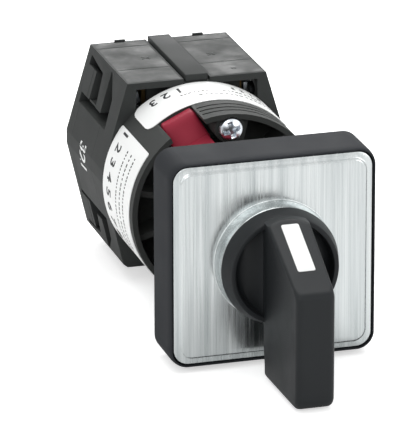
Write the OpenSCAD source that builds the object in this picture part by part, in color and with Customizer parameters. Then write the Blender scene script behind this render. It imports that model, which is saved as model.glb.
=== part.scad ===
// Panel-mounted cam switch: square bezel, lever grip, mounting collar and a two-cell contact block.
// X points right and Z up as seen from the front. +Y runs back along the switch axis.
// The origin lies on the axis, in the plane where the bezel meets the panel.

/* [Bezel and plate] */
// Width and height of the square bezel
bezel_w = 45; // [44.4:0.2:47]
// Depth of the bezel in front of the panel
bezel_depth = 12; // [11.6:0.2:14]
// Corner radius of the bezel
bezel_corner_r = 4; // [3.6:0.1:4.6]
// Thickness of the bezel's outer wall
bezel_wall = 1.8; // [1.5:0.1:2]
// Thickness of the bezel's wall behind the legend plate
bezel_face = 2.5; // [2.2:0.1:2.8]
// Bevel round the bezel's front edge
bezel_bevel = 0.5; // [0.3:0.05:0.6]
// Width of the rim round the legend plate
rim_w = 0.6; // [0.5:0.05:0.7]
// Gap between the legend plate and the rim
plate_gap = 0.2; // [0.1:0.05:0.3]
// Thickness of the legend plate's border
plate_t = 1.6; // [1.3:0.1:1.8]
// Depth of the plate's border behind the bezel's front
plate_recess = 0.3; // [0.1:0.05:0.5]
// Corner radius of the legend plate
plate_corner_r = 3.4; // [2.8:0.1:3.6]
// Height of the plate's raised centre over its border
centre_rise = 0.4; // [0.2:0.05:0.6]
// Width of the plate's border round its raised centre
border_w = 1.5; // [1:0.1:2]
// Outer radius of the plate's ring round the handle
ring_r = 12.9; // [12.5:0.1:13.4]
// Wall of the plate's ring
ring_wall = 0.8; // [0.6:0.05:1]
// Height of the plate's ring in front of the bezel
ring_h = 4; // [3.6:0.1:4.6]

/* [Handle] */
// Reach of the grip in front of the bezel
grip_reach = 29.4; // [27:0.2:32]
// Width of the grip at its back
grip_back_w = 9.1; // [8.7:0.1:9.6]
// Width of the grip at its front
grip_front_w = 7.8; // [7.2:0.1:8.4]
// Height of the grip's top above the axis
grip_top = 12.2; // [11.8:0.1:12.6]
// Length of the grip's tail below the axis
grip_tail = 23; // [20:0.5:26]
// Height above the axis where the slope meets the grip's front
slope_foot = 2; // [1:0.2:3]
// Rounding at the tail's lower front corner
grip_corner_r = 2.5; // [1.5:0.1:3]
// Height of the handle's cone-shaped skirt
skirt_h = 4.9; // [4.4:0.1:5.4]
// Taper of the skirt towards the front, on the radius
skirt_draw = 1.5; // [1:0.1:1.8]
// Wall of the skirt's rim
skirt_wall = 0.9; // [0.7:0.1:1.1]
// Width of the white pointer
pointer_w = 3.8; // [3:0.1:4.4]
// Length of the white pointer
pointer_l = 13.5; // [11:0.5:15]

/* [Neck and panel fixing] */
// Radius of the threaded neck
neck_r = 10.9; // [10.7:0.05:11]
// Radius of the neck's flange inside the bezel
flange_r = 15; // [14.8:0.1:15.4]
// Thickness of the neck's flange
flange_t = 2.4; // [2:0.1:2.8]
// Thickness of the panel that the nut is run up for
panel_t = 2.2; // [1.8:0.1:2.6]
// Radius of the ring nut
nut_r = 15.5; // [14.8:0.1:16.5]
// Thickness of the ring nut
nut_t = 6; // [5:0.2:7]
// Thickness of the lock washer
washer_t = 0.8; // [0.6:0.1:1]
// Thickness of the panel gasket
gasket_t = 1.5; // [1.2:0.1:1.8]

/* [Mounting collar] */
// Radius of the mounting collar
collar_r = 21.3; // [21:0.1:21.6]
// Distance from the panel's front face to the collar's front edge
collar_set = 21; // [20.6:0.2:23]
// Length of the mounting collar
collar_len = 23.3; // [22.8:0.1:24.5]
// Wall of the collar
collar_wall = 1.2; // [1:0.1:1.6]
// Depth of the recess in the collar's front
recess_depth = 9; // [8.6:0.1:9.4]
// Thickness of the web that carries the detent
web_t = 3; // [2.8:0.1:3.2]
// Width of the red tab
tab_w = 7.6; // [6.4:0.2:8]
// Angle of the red tab's middle, from +X
tab_angle = 115.5; // [114:0.5:117]
// Travel that frees the latch
latch_travel = 1.2; // [1:0.1:1.3]
// Thickness of the latch's ring
latch_t = 2.3; // [2:0.1:2.4]
// Width of the upper label along the axis
upper_label_w = 13; // [11:0.5:13]
// Width of the side label along the axis
side_label_w = 20.8; // [18:0.2:21]

/* [Contact block] */
// Height of the block's top above the axis
block_top = 22.3; // [22.1:0.1:23]
// Depth of the block's bottom below the axis
block_bottom = 19.8; // [19.6:0.1:20.4]
// Width of the block's top face
block_top_w = 31.4; // [30.6:0.2:32.4]
// Width of the block at its widest
block_mid_w = 42.8; // [42.4:0.2:43.4]
// Width of the block at its lower corners
block_low_w = 33.8; // [33.2:0.2:34.6]
// Height above the axis where the sides start to lean in
waist_high = 3; // [2.8:0.1:3.6]
// Wall of the cells
cell_wall = 1.5; // [1.3:0.05:1.6]
// Length of the front cell
front_cell_len = 9.7; // [9.6:0.1:11]
// Length of the rear cell
rear_cell_len = 16.5; // [16.2:0.1:18]
// Thickness of the end cover
cover_t = 4.4; // [4.2:0.1:5.2]
// Width of the strip along the block's top
strip_w = 5.1; // [4.6:0.1:5.6]
// Height of the strip above the block's top
strip_rise = 0.8; // [0.5:0.1:1]

/* [Mechanism] */
// Width across the flats of the square shafts
shaft_af = 6; // [5.8:0.05:6.1]
// Radius of the front shaft's bearing
journal_r = 5; // [4.8:0.05:5.1]
// Radius of the cam shaft's rear bearing
tail_journal_r = 2.8; // [2.5:0.1:2.9]
// Largest radius of the cams and of the detent wheel
cam_r = 9.5; // [9.2:0.05:9.6]
// Travel of the contact plungers
contact_travel = 1.2; // [1:0.05:1.25]
// Travel of the detent followers
detent_travel = 0.6; // [0.5:0.05:0.65]
// Distance of the tie screws from the axis
tie_set = 17.8; // [17.7:0.05:17.9]
// Radius of the tie screws' shanks
tie_r = 1.5; // [1.3:0.05:1.6]
// Radius of the tie screws' heads
tie_head_r = 2.5; // [2.2:0.05:2.55]

/* [Hidden] */
$fn = 72;

// Overrun of every cut past the face it opens
cut = 0.5;
// Radial clearance of a running fit
run_gap = 0.05;
// Clearance of pieces that slide or are pushed together
slip_gap = 0.15;
// Clearance between a moving piece and the next piece along its path
clear_gap = 0.25;

// Distances along the axis, from the front to the back
bezel_front = -bezel_depth;
plate_front = bezel_front + plate_recess;
plate_back = plate_front + plate_t;
centre_front = plate_front - centre_rise;
ring_front = bezel_front - ring_h;
bezel_inner = plate_back + bezel_face;
disc_t = 0.45;
disc_back = ring_front - clear_gap;
disc_front = disc_back - disc_t;
skirt_front = disc_front - skirt_h;
pocket_depth = 0.3;
pocket_floor = disc_front - pocket_depth;
grip_front = bezel_front - grip_reach;
hub_inset = 0.5;
hub_back = bezel_front - hub_inset;
tail_set = 7.4;
tail_back = bezel_front - tail_set;
slope_set = 8.9;
slope_back = bezel_front - slope_set;

// Bezel and plate across the axis
pocket_w = bezel_w - 2 * rim_w;
plate_w = pocket_w - 2 * plate_gap;
centre_w = plate_w - 2 * border_w;
pocket_corner_r = plate_corner_r + plate_gap;
cavity_corner_r = bezel_corner_r - bezel_wall;
cavity_w = bezel_w - 2 * bezel_wall;
tube_gap = 0.2;
tube_r = flange_r + tube_gap;
tube_wall = 1.8;
gasket_w = 3.2;
rib_t = 1.2;
rib_set = 19.4;

// Handle across the axis
disc_inset = 0.2;
disc_r = ring_r - disc_inset;
skirt_front_r = disc_r - skirt_draw;
hub_r = ring_r - ring_wall - 2 * slip_gap;
core_l = 22;
core_bite = 1.4;
core_half_w = grip_back_w / 2 - slip_gap;
slope_angle = atan2(grip_top - slope_foot, slope_back - grip_front);
pointer_set = 2.2;
pointer_t = 0.8;
pointer_proud = 0.1;
socket_l = 19;
socket_w = shaft_af + 2 * run_gap;
socket_front = hub_back - socket_l;
clip_t = 0.4;
clip_w = 3;
clip_l = 9;
clip_set = 3;

// Front shaft
shaft_play = 0.3;
shaft_front = socket_front + shaft_play;
journal_front = plate_back + slip_gap;
circlip_t = 0.8;
circlip_r = 6.8;
circlip_groove = 0.7;

// Neck, with its rear end pushed into the collar
neck_front = bezel_inner + run_gap;
neck_insert = 8.8;
neck_back = collar_set + neck_insert;
neck_bore_r = 8.5;
land_inset = 1;
land_back = collar_set - land_inset;
relief_r = 6.4;
relief_wall = 3;
lug_w = 3;
lug_h = 1.2;
lug_share = 0.8;
flange_back = neck_front + flange_t;
flange_screw_r = 1;
flange_screw_head_r = 1.6;
flange_screw_head_t = 1.2;
flange_screw_set = 13.05;
flange_screw_bite = 1.7;
flange_screws_n = 4;
flange_screws_angle = 45;
seal_r = 0.7;
seal_set = 2.2;
washer_front = panel_t;
nut_front = washer_front + washer_t;
nut_back = nut_front + nut_t;
nut_notches = 6;
nut_notch_r = 2.2;
nut_notch_share = 0.55;
washer_inset = 0.7;
washer_r = nut_r - washer_inset;
washer_notches = 12;
washer_notch_r = 1.1;

// Release latch, a ring in front of the collar that slides across the neck, and its sloping tab
latch_lift = 1.15;
latch_back = collar_set - latch_lift;
latch_front = latch_back - latch_t;
latch_r = 14.5;
groove_depth = 1;
lip_gap = 0.3;
lip_r = neck_r - groove_depth + lip_gap;
lip_half_angle = 25;
tab_top = 21.15;
tab_wall = 1.25;
tab_toe_set = 1.2;
tab_toe_h = 0.9;
tab_root = 0.5;
tab_toe_y = latch_front + tab_toe_set;
tab_toe_x = latch_r + tab_toe_h;

// Mounting collar
collar_front = collar_set;
collar_back = collar_front + collar_len;
web_front = collar_front + recess_depth;
web_back = web_front + web_t;
collar_in_r = collar_r - collar_wall;
hub_lift = 0.95;
collar_hub_front = collar_front - hub_lift;
collar_hub_r = 13.2;
collar_bore_r = neck_r + slip_gap;
collar_ribs_n = 12;
collar_rib_t = 1.3;
collar_rib_drop = 2.2;
collar_rib_angle = 16.5;
tie_angle = 87.6;
tie_boss_r = 3.3;
tie_head_set = 1;
tie_head_t = 2;
tie_seat = collar_front + tie_head_set;
tie_hole_r = tie_r + slip_gap;
pocket_r = tie_head_r + clear_gap;
label_t = 0.15;
label_back = collar_back - slip_gap;
tab_slot_back = label_back - upper_label_w;
tab_back = tab_slot_back - slip_gap;
tab_slope = (tab_top - tab_toe_x) / (tab_back - tab_toe_y);
tab_root_x = tab_toe_x + (latch_back - tab_toe_y) * tab_slope - tab_wall;
tab_slot_floor = tab_top - (tab_back - web_front) * tab_slope - tab_wall - latch_travel - clear_gap;
tab_slot_half_w = tab_w / 2 + clear_gap;
upper_label_from_angle = 38;
upper_label_to_angle = 132;
side_label_from_angle = 143.2;
side_label_to_angle = 235;

collar_grooves_n = 3;
collar_groove_w = 0.6;
collar_groove_depth = 0.3;
collar_groove_set = 2.6;
collar_groove_pitch = 2.2;
collar_groove_from_angle = 48;
collar_groove_to_angle = 103;

// Detent, in the collar's chamber
wheel_journal_r = 6;
wheel_lift = 2;
wheel_front = web_back + wheel_lift;
wheel_hub_l = 2.6;
wheel_play = 0.7;
wheel_t = collar_back - wheel_play - wheel_hub_l - wheel_front;
wheel_back = wheel_front + wheel_t;
wheel_hub_r = 6.6;
valley_n = 4;
valley_r = 3;
valley_depth = detent_travel;
nose_r = 2.5;
nose_x = cam_r + clear_gap;
follower_l = 5.75;
follower_inset = 0.5;
follower_half_y = wheel_t / 2 - follower_inset;
follower_y = wheel_front + wheel_t / 2;
guide_wall = 1.5;
guide_front_x = cam_r + clear_gap + nose_r;
guide_l = 5;
guide_back_x = guide_front_x + guide_l;

// Contact block along the axis
cell_front_y = collar_back;
split_y = cell_front_y + front_cell_len;
cover_y = split_y + rear_cell_len;
block_back = cover_y + cover_t;
slot_front_set = 3.5;
slot_rear_set = 2.2;
barrier_w = 4;
slot_front_y = split_y - slot_front_set;
slot_rear_y = split_y + slot_rear_set;
window_y = slot_rear_y + barrier_w;
cover_slot = 1.4;
window_back_y = cover_y + cover_slot;
front_contact_set = 2.9;
rear_contact_set = 9;
front_contact_y = split_y - front_contact_set;
rear_contact_y = split_y + rear_contact_set;

// Contact block across the axis
low_bevel = 0.8;
block_low_z = block_bottom - low_bevel;
upper_lean = (block_mid_w - block_top_w) / 2 / (block_top - waist_high);
lower_lean = (block_mid_w - block_low_w) / 2 / block_low_z;
shaft_bore_r = shaft_af * sqrt(2) / 2 + 2 * slip_gap;
chamber_half_h = 9;
partition_t = 1.2;
pocket_low_z = chamber_half_h + partition_t;
upper_pocket_z = block_top - cell_wall;
lower_pocket_z = block_bottom - cell_wall;
cam_room_r = cam_r + 2 * clear_gap;
fixed_x = 10.55;
fixed_t = 0.8;
fixed_w_front = 5;
fixed_w_rear = 6;
fixed_from_z = 4.8;
fixed_end_gap = 0.5;
tip_r = 1.3;
tip_z = 6.4;
fixed_tip_t = 0.25;
fixed_face_x = fixed_x + fixed_t + fixed_tip_t;
bridge_tip_t = 0.45;
bridge_x = fixed_face_x + slip_gap + contact_travel + bridge_tip_t;
bridge_t = 0.8;
bridge_half_l = 8.2;
bridge_w = 4.8;
plunger_x = cam_r + clear_gap;
plunger_half_h = 2;
plunger_half_y = 2.2;
post_r = 1;
post_play = 2.7;
post_l = block_mid_w / 2 - cell_wall - post_play - bridge_x;
contact_guide_x = cam_r + 2 * clear_gap;
contact_guide_l = 1.8;
contact_guide_wall = 1.2;
notch_play = 0.2;
notch_depth = contact_travel + notch_play;
notch_half_angle = 22;
wire_r = 0.25;
spring_r = 1.75;
spring_pitch = 0.95;
spring_from_x = bridge_x + bridge_t + wire_r + run_gap;
spring_seat = 0.7;
spring_to_x = block_mid_w / 2 - cell_wall - spring_seat - wire_r;
detent_coil_r = min(follower_half_y, nose_r) - 3 * wire_r;
detent_spring_from_x = plunger_x + follower_l + wire_r + run_gap;
detent_spring_to_x = collar_in_r - wire_r - slip_gap;
spring_sides = 6;
spring_steps = 10;

// Terminals
upper_screw_z = 16.2;
lower_screw_z = 14.3;
front_screw_head_r = 2.1;
rear_screw_head_r = 2.6;
terminal_shank_r = 1.25;
front_head_x = 13.4;
front_head_t = 1.5;
rear_head_x = 13.4;
rear_head_t = 1.7;
terminal_hole_l = 3;
clamp_x = 12;
clamp_t = 0.8;
clamp_front_w = 4.4;
clamp_rear_w = 5.6;
clamp_h = 5.2;
face_recess_x = 6;
face_recess_z = 13.5;
face_recess_side = 2;
face_recess_depth = 3;
slot_lean = 0.6;
slot_rise = 0.7;
slot_knee_share = 0.62;
barrier_lean = 1.3;
barrier_knee_share = 0.89;
foot_gap = 2.1;
foot_gap_w = 3.45;
ledge_t = 0.6;
ledge_l = 7;
ledge_w = 2.8;
cover_boss_r = 3.25;
cover_boss_l = 2.8;
cover_boss_inset = 0.3;

// Cams, cover and ties
cam_t = 4.6;
cam_hub_r = 6;
cam_hub_l = 0.3;
shaft_joint_y = wheel_front + wheel_t / 2;
cam_shaft_gap = 0.3;
tail_journal_l = 3;
nut_af = 5.5;
tie_nut_t = 2.4;
nut_inset = 0.4;
nut_seat = block_back - tie_nut_t - nut_inset;
tie_end = nut_seat + tie_nut_t;
groove_gap = 0.4;
groove_w = strip_w + 2 * groove_gap;
groove_depth_top = 0.8;
strip_front_inset = 0.3;
nub_w = 2.4;
nub_l = 0.6;
nub_h = 0.5;
nub_x = 9;
reach_share = 1.2;

// Half width of the block at a height, on its leaning sides
function side_x(z) = z > waist_high ? block_mid_w / 2 - (z - waist_high) * upper_lean
    : z < 0 ? block_mid_w / 2 + z * lower_lean : block_mid_w / 2;

// Angle of one of the collar's ribs
function rib_angle(i) = collar_rib_angle + 360 * i / collar_ribs_n;

// Inner edge of the gap under the barrier
function foot_gap_x() = side_x(pocket_low_z + foot_gap) - foot_gap_w;

// A flat shape in X and Z, given a thickness along the axis
module slab(from_y, to_y) {
    translate([0, to_y, 0]) rotate([90, 0, 0]) linear_extrude(to_y - from_y) children();
}

// A flat profile in radius and Y, turned about the axis
module turned() {
    rotate([-90, 0, 0]) rotate_extrude() children();
}

module rod(r, from_y, to_y) {
    translate([0, from_y, 0]) rotate([-90, 0, 0]) cylinder(r = r, h = to_y - from_y);
}

// A round rod along X
module cross_rod(r, from_x, to_x) {
    translate([from_x, 0, 0]) rotate([0, 90, 0]) cylinder(r = r, h = to_x - from_x);
}

module box(from, to) {
    translate(from) cube(to - from);
}

module round_square(w, r) {
    inner = w - 2 * r;
    square([w, inner], center = true);
    square([inner, w], center = true);
    for (sx = [-1, 1], sz = [-1, 1]) translate([sx * inner / 2, sz * inner / 2]) circle(r = r);
}

module about_axis(angle) {
    rotate([0, -angle, 0]) children();
}

module both_sides() {
    children();
    mirror([1, 0, 0]) children();
}

// A sector of the plane between two angles, long enough to cut a ring of radius r
module sector(r, from_angle, to_angle) {
    mid_angle = (from_angle + to_angle) / 2;
    reach = r / cos((to_angle - from_angle) / 4) * reach_share;
    polygon([
        [0, 0],
        for (share = [0, 0.25, 0.5, 0.75, 1])
            let (angle = from_angle + (to_angle - from_angle) * share)
                reach * [cos(angle), sin(angle)]
    ]);
}

module arc_band(in_r, out_r, from_angle, to_angle) {
    intersection() {
        difference() {
            circle(r = out_r);
            circle(r = in_r);
        }
        sector(out_r, from_angle, to_angle);
    }
}

// A coil spring along X, one closed tube of wire with flat ends
module coil_spring(from_x, to_x, coil_r) {
    rings = round((to_x - from_x) / spring_pitch * spring_steps);
    points = [
        for (ring = [0 : rings])
            let (turn = 360 * ring / spring_steps, x = from_x + (to_x - from_x) * ring / rings)
                for (side = [0 : spring_sides - 1])
                    let (angle = 360 * side / spring_sides, r = coil_r + wire_r * cos(angle))
                        [x + wire_r * sin(angle), r * cos(turn), r * sin(turn)]
    ];
    walls = [
        for (ring = [0 : rings - 1], side = [0 : spring_sides - 1])
            let (
                next_side = (side + 1) % spring_sides,
                a = ring * spring_sides + side,
                b = ring * spring_sides + next_side,
                c = a + spring_sides,
                d = b + spring_sides
            )
                each [[a, c, b], [b, c, d]]
    ];
    last = rings * spring_sides;
    first_cap = [for (side = [1 : spring_sides - 2]) [0, side, side + 1]];
    last_cap = [for (side = [1 : spring_sides - 2]) [last, last + side + 1, last + side]];
    polyhedron(points, concat(walls, first_cap, last_cap));
}

module bezel() {
    color("dimgray") difference() {
        hull() {
            slab(bezel_front + bezel_bevel, 0) round_square(bezel_w, bezel_corner_r, $fn = 32);
            slab(bezel_front, bezel_front + bezel_bevel)
                round_square(bezel_w - 2 * bezel_bevel, bezel_corner_r - bezel_bevel, $fn = 32);
        }
        slab(bezel_front - cut, plate_back) round_square(pocket_w, pocket_corner_r);
        rod(journal_r + 2 * clear_gap, plate_back - cut, bezel_inner + cut);
        difference() {
            slab(bezel_inner, cut) round_square(cavity_w, cavity_corner_r);
            rod(tube_r + tube_wall, bezel_inner - cut, 2 * cut);
            for (angle = [0, 90])
                about_axis(angle)
                    for (side = [-1, 1])
                        box([-bezel_w / 2, bezel_inner - cut, side * rib_set / 2 - rib_t / 2],
                            [bezel_w / 2, -gasket_t, side * rib_set / 2 + rib_t / 2]);
        }
        rod(tube_r, bezel_inner, cut);
        rod(tube_r + gasket_w, -gasket_t, cut);
        flange_screw_places() rod(flange_screw_r, bezel_inner - flange_screw_bite, bezel_inner + cut);
    }
}

module flange_screw_places() {
    for (i = [0 : flange_screws_n - 1])
        about_axis(flange_screws_angle + 360 * i / flange_screws_n)
            translate([flange_screw_set, 0, 0]) children();
}

module legend_plate() {
    color("silver") difference() {
        union() {
            slab(plate_front, plate_back) round_square(plate_w, plate_corner_r);
            slab(centre_front, plate_front) round_square(centre_w, plate_corner_r - border_w / 2);
            rod(ring_r, ring_front, plate_front);
        }
        rod(ring_r - ring_wall, ring_front - cut, plate_back + cut);
    }
}

// A flat shape in Y and Z, given a width along X
module side_slab(w) {
    translate([-w / 2, 0, 0]) rotate([90, 0, 90]) linear_extrude(w) children();
}

module grip_body() {
    intersection() {
        side_slab(grip_back_w) {
            polygon([
                [tail_back, grip_top], [slope_back, grip_top], [grip_front, slope_foot],
                [grip_front, grip_corner_r - grip_tail], [grip_front + grip_corner_r, -grip_tail],
                [tail_back, -grip_tail]
            ]);
            translate([grip_front + grip_corner_r, grip_corner_r - grip_tail]) circle(r = grip_corner_r);
        }
        translate([0, 0, -grip_tail - cut]) linear_extrude(grip_tail + grip_top + 2 * cut) polygon([
            [-grip_back_w / 2, tail_back], [-grip_front_w / 2, grip_front],
            [grip_front_w / 2, grip_front], [grip_back_w / 2, tail_back]
        ]);
    }
}

module on_slope() {
    translate([0, slope_back, grip_top]) rotate([slope_angle, 0, 0]) children();
}

module handle() {
    floor_r = disc_r - skirt_wall - skirt_draw * pocket_depth / skirt_h;
    color([0.14, 0.15, 0.16]) difference() {
        union() {
            turned() polygon([
                [0, hub_back], [hub_r, hub_back], [hub_r, disc_back], [disc_r, disc_back],
                [disc_r, disc_front], [skirt_front_r, skirt_front],
                [skirt_front_r - skirt_wall, skirt_front], [floor_r, pocket_floor], [0, pocket_floor]
            ]);
            intersection() {
                box([-core_half_w, tail_back - core_bite, -core_l / 2],
                    [core_half_w, disc_front, grip_top - core_bite / 2]);
                rod(disc_r, tail_back - skirt_h, disc_back);
            }
            grip_body();
        }
        box([-socket_w / 2, socket_front, -socket_w / 2], [socket_w / 2, hub_back + cut, socket_w / 2]);
        on_slope()
            box([-pointer_w / 2 - run_gap, -pointer_set - pointer_l - run_gap, -pointer_t + pointer_proud],
                [pointer_w / 2 + run_gap, run_gap - pointer_set, cut]);
        box([-clip_w / 2 - slip_gap, hub_back - clip_set - clip_l - slip_gap, socket_w / 2 - cut],
            [clip_w / 2 + slip_gap, hub_back - clip_set + slip_gap, socket_w / 2 + clip_t + slip_gap]);
    }
}

module pointer_insert() {
    color("white") on_slope()
        box([-pointer_w / 2, -pointer_set - pointer_l, -pointer_t + pointer_proud],
            [pointer_w / 2, -pointer_set, pointer_proud]);
}

module grip_clip() {
    color("lightsteelblue")
        box([-clip_w / 2, hub_back - clip_set - clip_l, shaft_af / 2 + run_gap],
            [clip_w / 2, hub_back - clip_set, shaft_af / 2 + run_gap + clip_t]);
}

module square_shaft(from_y, to_y) {
    box([-shaft_af / 2, from_y, -shaft_af / 2], [shaft_af / 2, to_y, shaft_af / 2]);
}

module front_shaft() {
    groove_y = land_back + slip_gap;
    color("lightgray") difference() {
        union() {
            square_shaft(shaft_front, shaft_joint_y - cam_shaft_gap / 2);
            rod(journal_r, journal_front, groove_y + circlip_t + 2 * slip_gap + circlip_groove);
        }
        turned() translate([journal_r - circlip_groove, groove_y])
            square([circlip_groove + cut, circlip_t + slip_gap]);
    }
}

module shaft_circlip() {
    color("gray") difference() {
        rod(circlip_r, land_back + slip_gap, land_back + slip_gap + circlip_t);
        rod(journal_r - circlip_groove + run_gap, land_back - cut, land_back + circlip_t + cut);
        box([-journal_r / 2, land_back - cut, -circlip_r - cut],
            [journal_r / 2, land_back + circlip_t + cut, 0]);
    }
}

module mounting_neck() {
    run_r = journal_r + run_gap;
    seal_y = neck_front + seal_set;
    color([0.22, 0.22, 0.23]) difference() {
        union() {
            turned() polygon([
                [run_r, neck_front], [flange_r, neck_front], [flange_r, flange_back],
                [neck_r, flange_back], [neck_r, latch_front - slip_gap],
                [neck_r - groove_depth, latch_front - slip_gap],
                [neck_r - groove_depth, latch_back + slip_gap], [neck_r, latch_back + slip_gap],
                [neck_r, neck_back], [neck_bore_r, neck_back], [neck_bore_r, land_back],
                [run_r, land_back], [run_r, land_back - relief_wall * 2],
                [relief_r, land_back - relief_wall * 2],
                [relief_r, neck_front + relief_wall * 2], [run_r, neck_front + relief_wall * 2]
            ]);
            box([-lug_w / 2, -gasket_t, neck_r - lug_h], [lug_w / 2, panel_t * lug_share, neck_r + lug_h]);
        }
        rod(run_r + 2 * seal_r, seal_y - seal_r - run_gap, seal_y + seal_r + run_gap);
        flange_screw_places() rod(flange_screw_r + slip_gap, neck_front - cut, flange_back + cut);
    }
}

module flange_screws() {
    color("silver") flange_screw_places() {
        rod(flange_screw_r, bezel_inner - flange_screw_bite + slip_gap, flange_back + run_gap);
        rod(flange_screw_head_r, flange_back, flange_back + flange_screw_head_t);
    }
}

module panel_gasket() {
    color([0.1, 0.1, 0.1]) difference() {
        rod(tube_r + gasket_w - slip_gap, -gasket_t, 0);
        rod(tube_r, -gasket_t - cut, cut);
    }
}

module shaft_seal() {
    color([0.1, 0.1, 0.1]) turned()
        translate([journal_r + run_gap + seal_r, neck_front + seal_set]) circle(r = seal_r);
}

module lock_washer() {
    color("silver") difference() {
        rod(washer_r, washer_front, nut_front);
        rod(neck_r + slip_gap, washer_front - cut, nut_front + cut);
        for (i = [0 : washer_notches - 1])
            about_axis(360 * i / washer_notches)
                translate([washer_r, 0, 0]) rod(washer_notch_r, washer_front - cut, nut_front + cut);
    }
}

module ring_nut() {
    color([0.25, 0.25, 0.26]) difference() {
        rod(nut_r, nut_front, nut_back);
        rod(neck_r + run_gap, nut_front - cut, nut_back + cut);
        for (i = [0 : nut_notches - 1])
            about_axis(360 * i / nut_notches)
                translate([nut_r + nut_notch_r * nut_notch_share, 0, 0])
                    rod(nut_notch_r, nut_front - cut, nut_back + cut);
    }
}

module tie_places() {
    for (side = [-1, 1]) translate(side * tie_set * [cos(tie_angle), 0, sin(tie_angle)]) children();
}

module mounting_collar() {
    rib_clear_angle = asin((tab_slot_half_w + collar_rib_t / 2) / collar_hub_r);
    color([0.3, 0.31, 0.31]) difference() {
        union() {
            difference() {
                rod(collar_r, collar_front, collar_back);
                rod(collar_in_r, collar_front - cut, collar_back + cut);
            }
            rod(collar_in_r + cut, web_front, web_back);
            rod(collar_hub_r, collar_hub_front, web_back);
            intersection() {
                for (i = [0 : collar_ribs_n - 1])
                    if (abs(rib_angle(i) - tab_angle) > rib_clear_angle) about_axis(rib_angle(i))
                        box([0, collar_front + collar_rib_drop, -collar_rib_t / 2],
                            [collar_r, web_back, collar_rib_t / 2]);
                rod(collar_in_r + cut, collar_front, web_back);
            }
            intersection() {
                tie_places() rod(tie_boss_r, tie_seat, collar_back);
                rod(collar_in_r + cut, collar_front, collar_back);
            }
            both_sides() follower_guide();
        }
        rod(collar_bore_r, collar_hub_front - cut, web_front);
        rod(wheel_journal_r + run_gap, web_front - cut, web_back + cut);
        tie_places() rod(tie_hole_r, tie_seat - cut, collar_back + cut);
        tie_places() rod(pocket_r, collar_front - cut, tie_seat);
        about_axis(tab_angle)
            box([tab_slot_floor, collar_front - cut, -tab_slot_half_w],
                [collar_r + cut, tab_slot_back, tab_slot_half_w]);
        for (i = [0 : collar_grooves_n - 1])
            collar_groove(collar_front + collar_groove_set + i * collar_groove_pitch);
    }
}

// A shallow groove across the finger grip beside the tab
module collar_groove(from_y) {
    slab(from_y, from_y + collar_groove_w)
        arc_band(collar_r - collar_groove_depth, collar_r + cut,
            collar_groove_from_angle, collar_groove_to_angle);
}

module follower_guide() {
    half_h = nose_r + slip_gap;
    low_y = follower_y - follower_half_y - slip_gap;
    high_y = follower_y + follower_half_y + slip_gap;
    difference() {
        box([guide_front_x, web_back - cut, -half_h - guide_wall],
            [guide_back_x, high_y + guide_wall, half_h + guide_wall]);
        box([guide_front_x - cut, low_y, -half_h], [guide_back_x + cut, high_y, half_h]);
    }
}

module release_latch() {
    color([0.6, 0.17, 0.24]) about_axis(tab_angle) {
        slab(latch_front, latch_back) {
            difference() {
                circle(r = latch_r);
                for (x = [0, latch_travel]) translate([x, 0]) circle(r = neck_r + slip_gap);
            }
            arc_band(lip_r, neck_r + 2 * slip_gap, 180 - lip_half_angle, 180 + lip_half_angle);
        }
        translate([0, 0, -tab_w / 2]) linear_extrude(tab_w) polygon([
            [latch_r - tab_root, tab_toe_y], [tab_toe_x, tab_toe_y], [tab_top, tab_back],
            [tab_top - tab_wall, tab_back], [tab_root_x, latch_back], [latch_r - tab_root, latch_back]
        ]);
    }
}

module curved_label(from_y, to_y, from_angle, to_angle) {
    color("white") slab(from_y, to_y) arc_band(collar_r, collar_r + label_t, from_angle, to_angle);
}

module upper_label() {
    curved_label(label_back - upper_label_w, label_back, upper_label_from_angle, upper_label_to_angle);
}

module side_label() {
    curved_label(label_back - side_label_w, label_back, side_label_from_angle, side_label_to_angle);
}

module detent_wheel() {
    valley_x = cam_r - valley_depth + valley_r;
    color("ivory") difference() {
        union() {
            rod(cam_r, wheel_front, wheel_back);
            rod(wheel_journal_r, web_front + clear_gap, wheel_front + cut);
            rod(wheel_hub_r, wheel_back - cut, wheel_back + wheel_hub_l);
        }
        square_hole(web_front, wheel_back + wheel_hub_l);
        for (i = [0 : valley_n - 1])
            about_axis(360 * i / valley_n)
                translate([valley_x, 0, 0]) rod(valley_r, wheel_front - cut, wheel_back + cut);
    }
}

module square_hole(from_y, to_y) {
    box([-socket_w / 2, from_y - cut, -socket_w / 2], [socket_w / 2, to_y + cut, socket_w / 2]);
}

module detent_follower() {
    color("ivory") {
        translate([nose_x + nose_r, 0, 0]) rod(nose_r, follower_y - follower_half_y, follower_y + follower_half_y);
        box([nose_x + nose_r, follower_y - follower_half_y, -nose_r],
            [nose_x + follower_l, follower_y + follower_half_y, nose_r]);
    }
}

module detent_follower_left() { mirror([1, 0, 0]) detent_follower(); }
module detent_follower_right() { detent_follower(); }

module detent_spring() {
    color("silver") translate([0, follower_y, 0]) coil_spring(detent_spring_from_x, detent_spring_to_x, detent_coil_r);
}

module detent_spring_left() { mirror([1, 0, 0]) detent_spring(); }
module detent_spring_right() { detent_spring(); }

// The block's cross-section, drawn in by an even wall
module block_outline(inset) {
    side_inset = inset * sqrt(1 + upper_lean * upper_lean);
    low_inset = inset * sqrt(1 + lower_lean * lower_lean);
    top_z = block_top - inset;
    low_z = -block_low_z;
    bottom_z = -block_bottom + inset;
    right = [
        [side_x(bottom_z) - low_inset - low_bevel, bottom_z],
        [side_x(low_z) - low_inset, max(low_z, bottom_z + run_gap)],
        [block_mid_w / 2 - low_inset, 0],
        [block_mid_w / 2 - side_inset, waist_high],
        [side_x(top_z) - side_inset, top_z]
    ];
    left = [for (i = [len(right) - 1 : -1 : 0]) [-right[i][0], right[i][1]]];
    polygon(concat(right, left));
}

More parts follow.
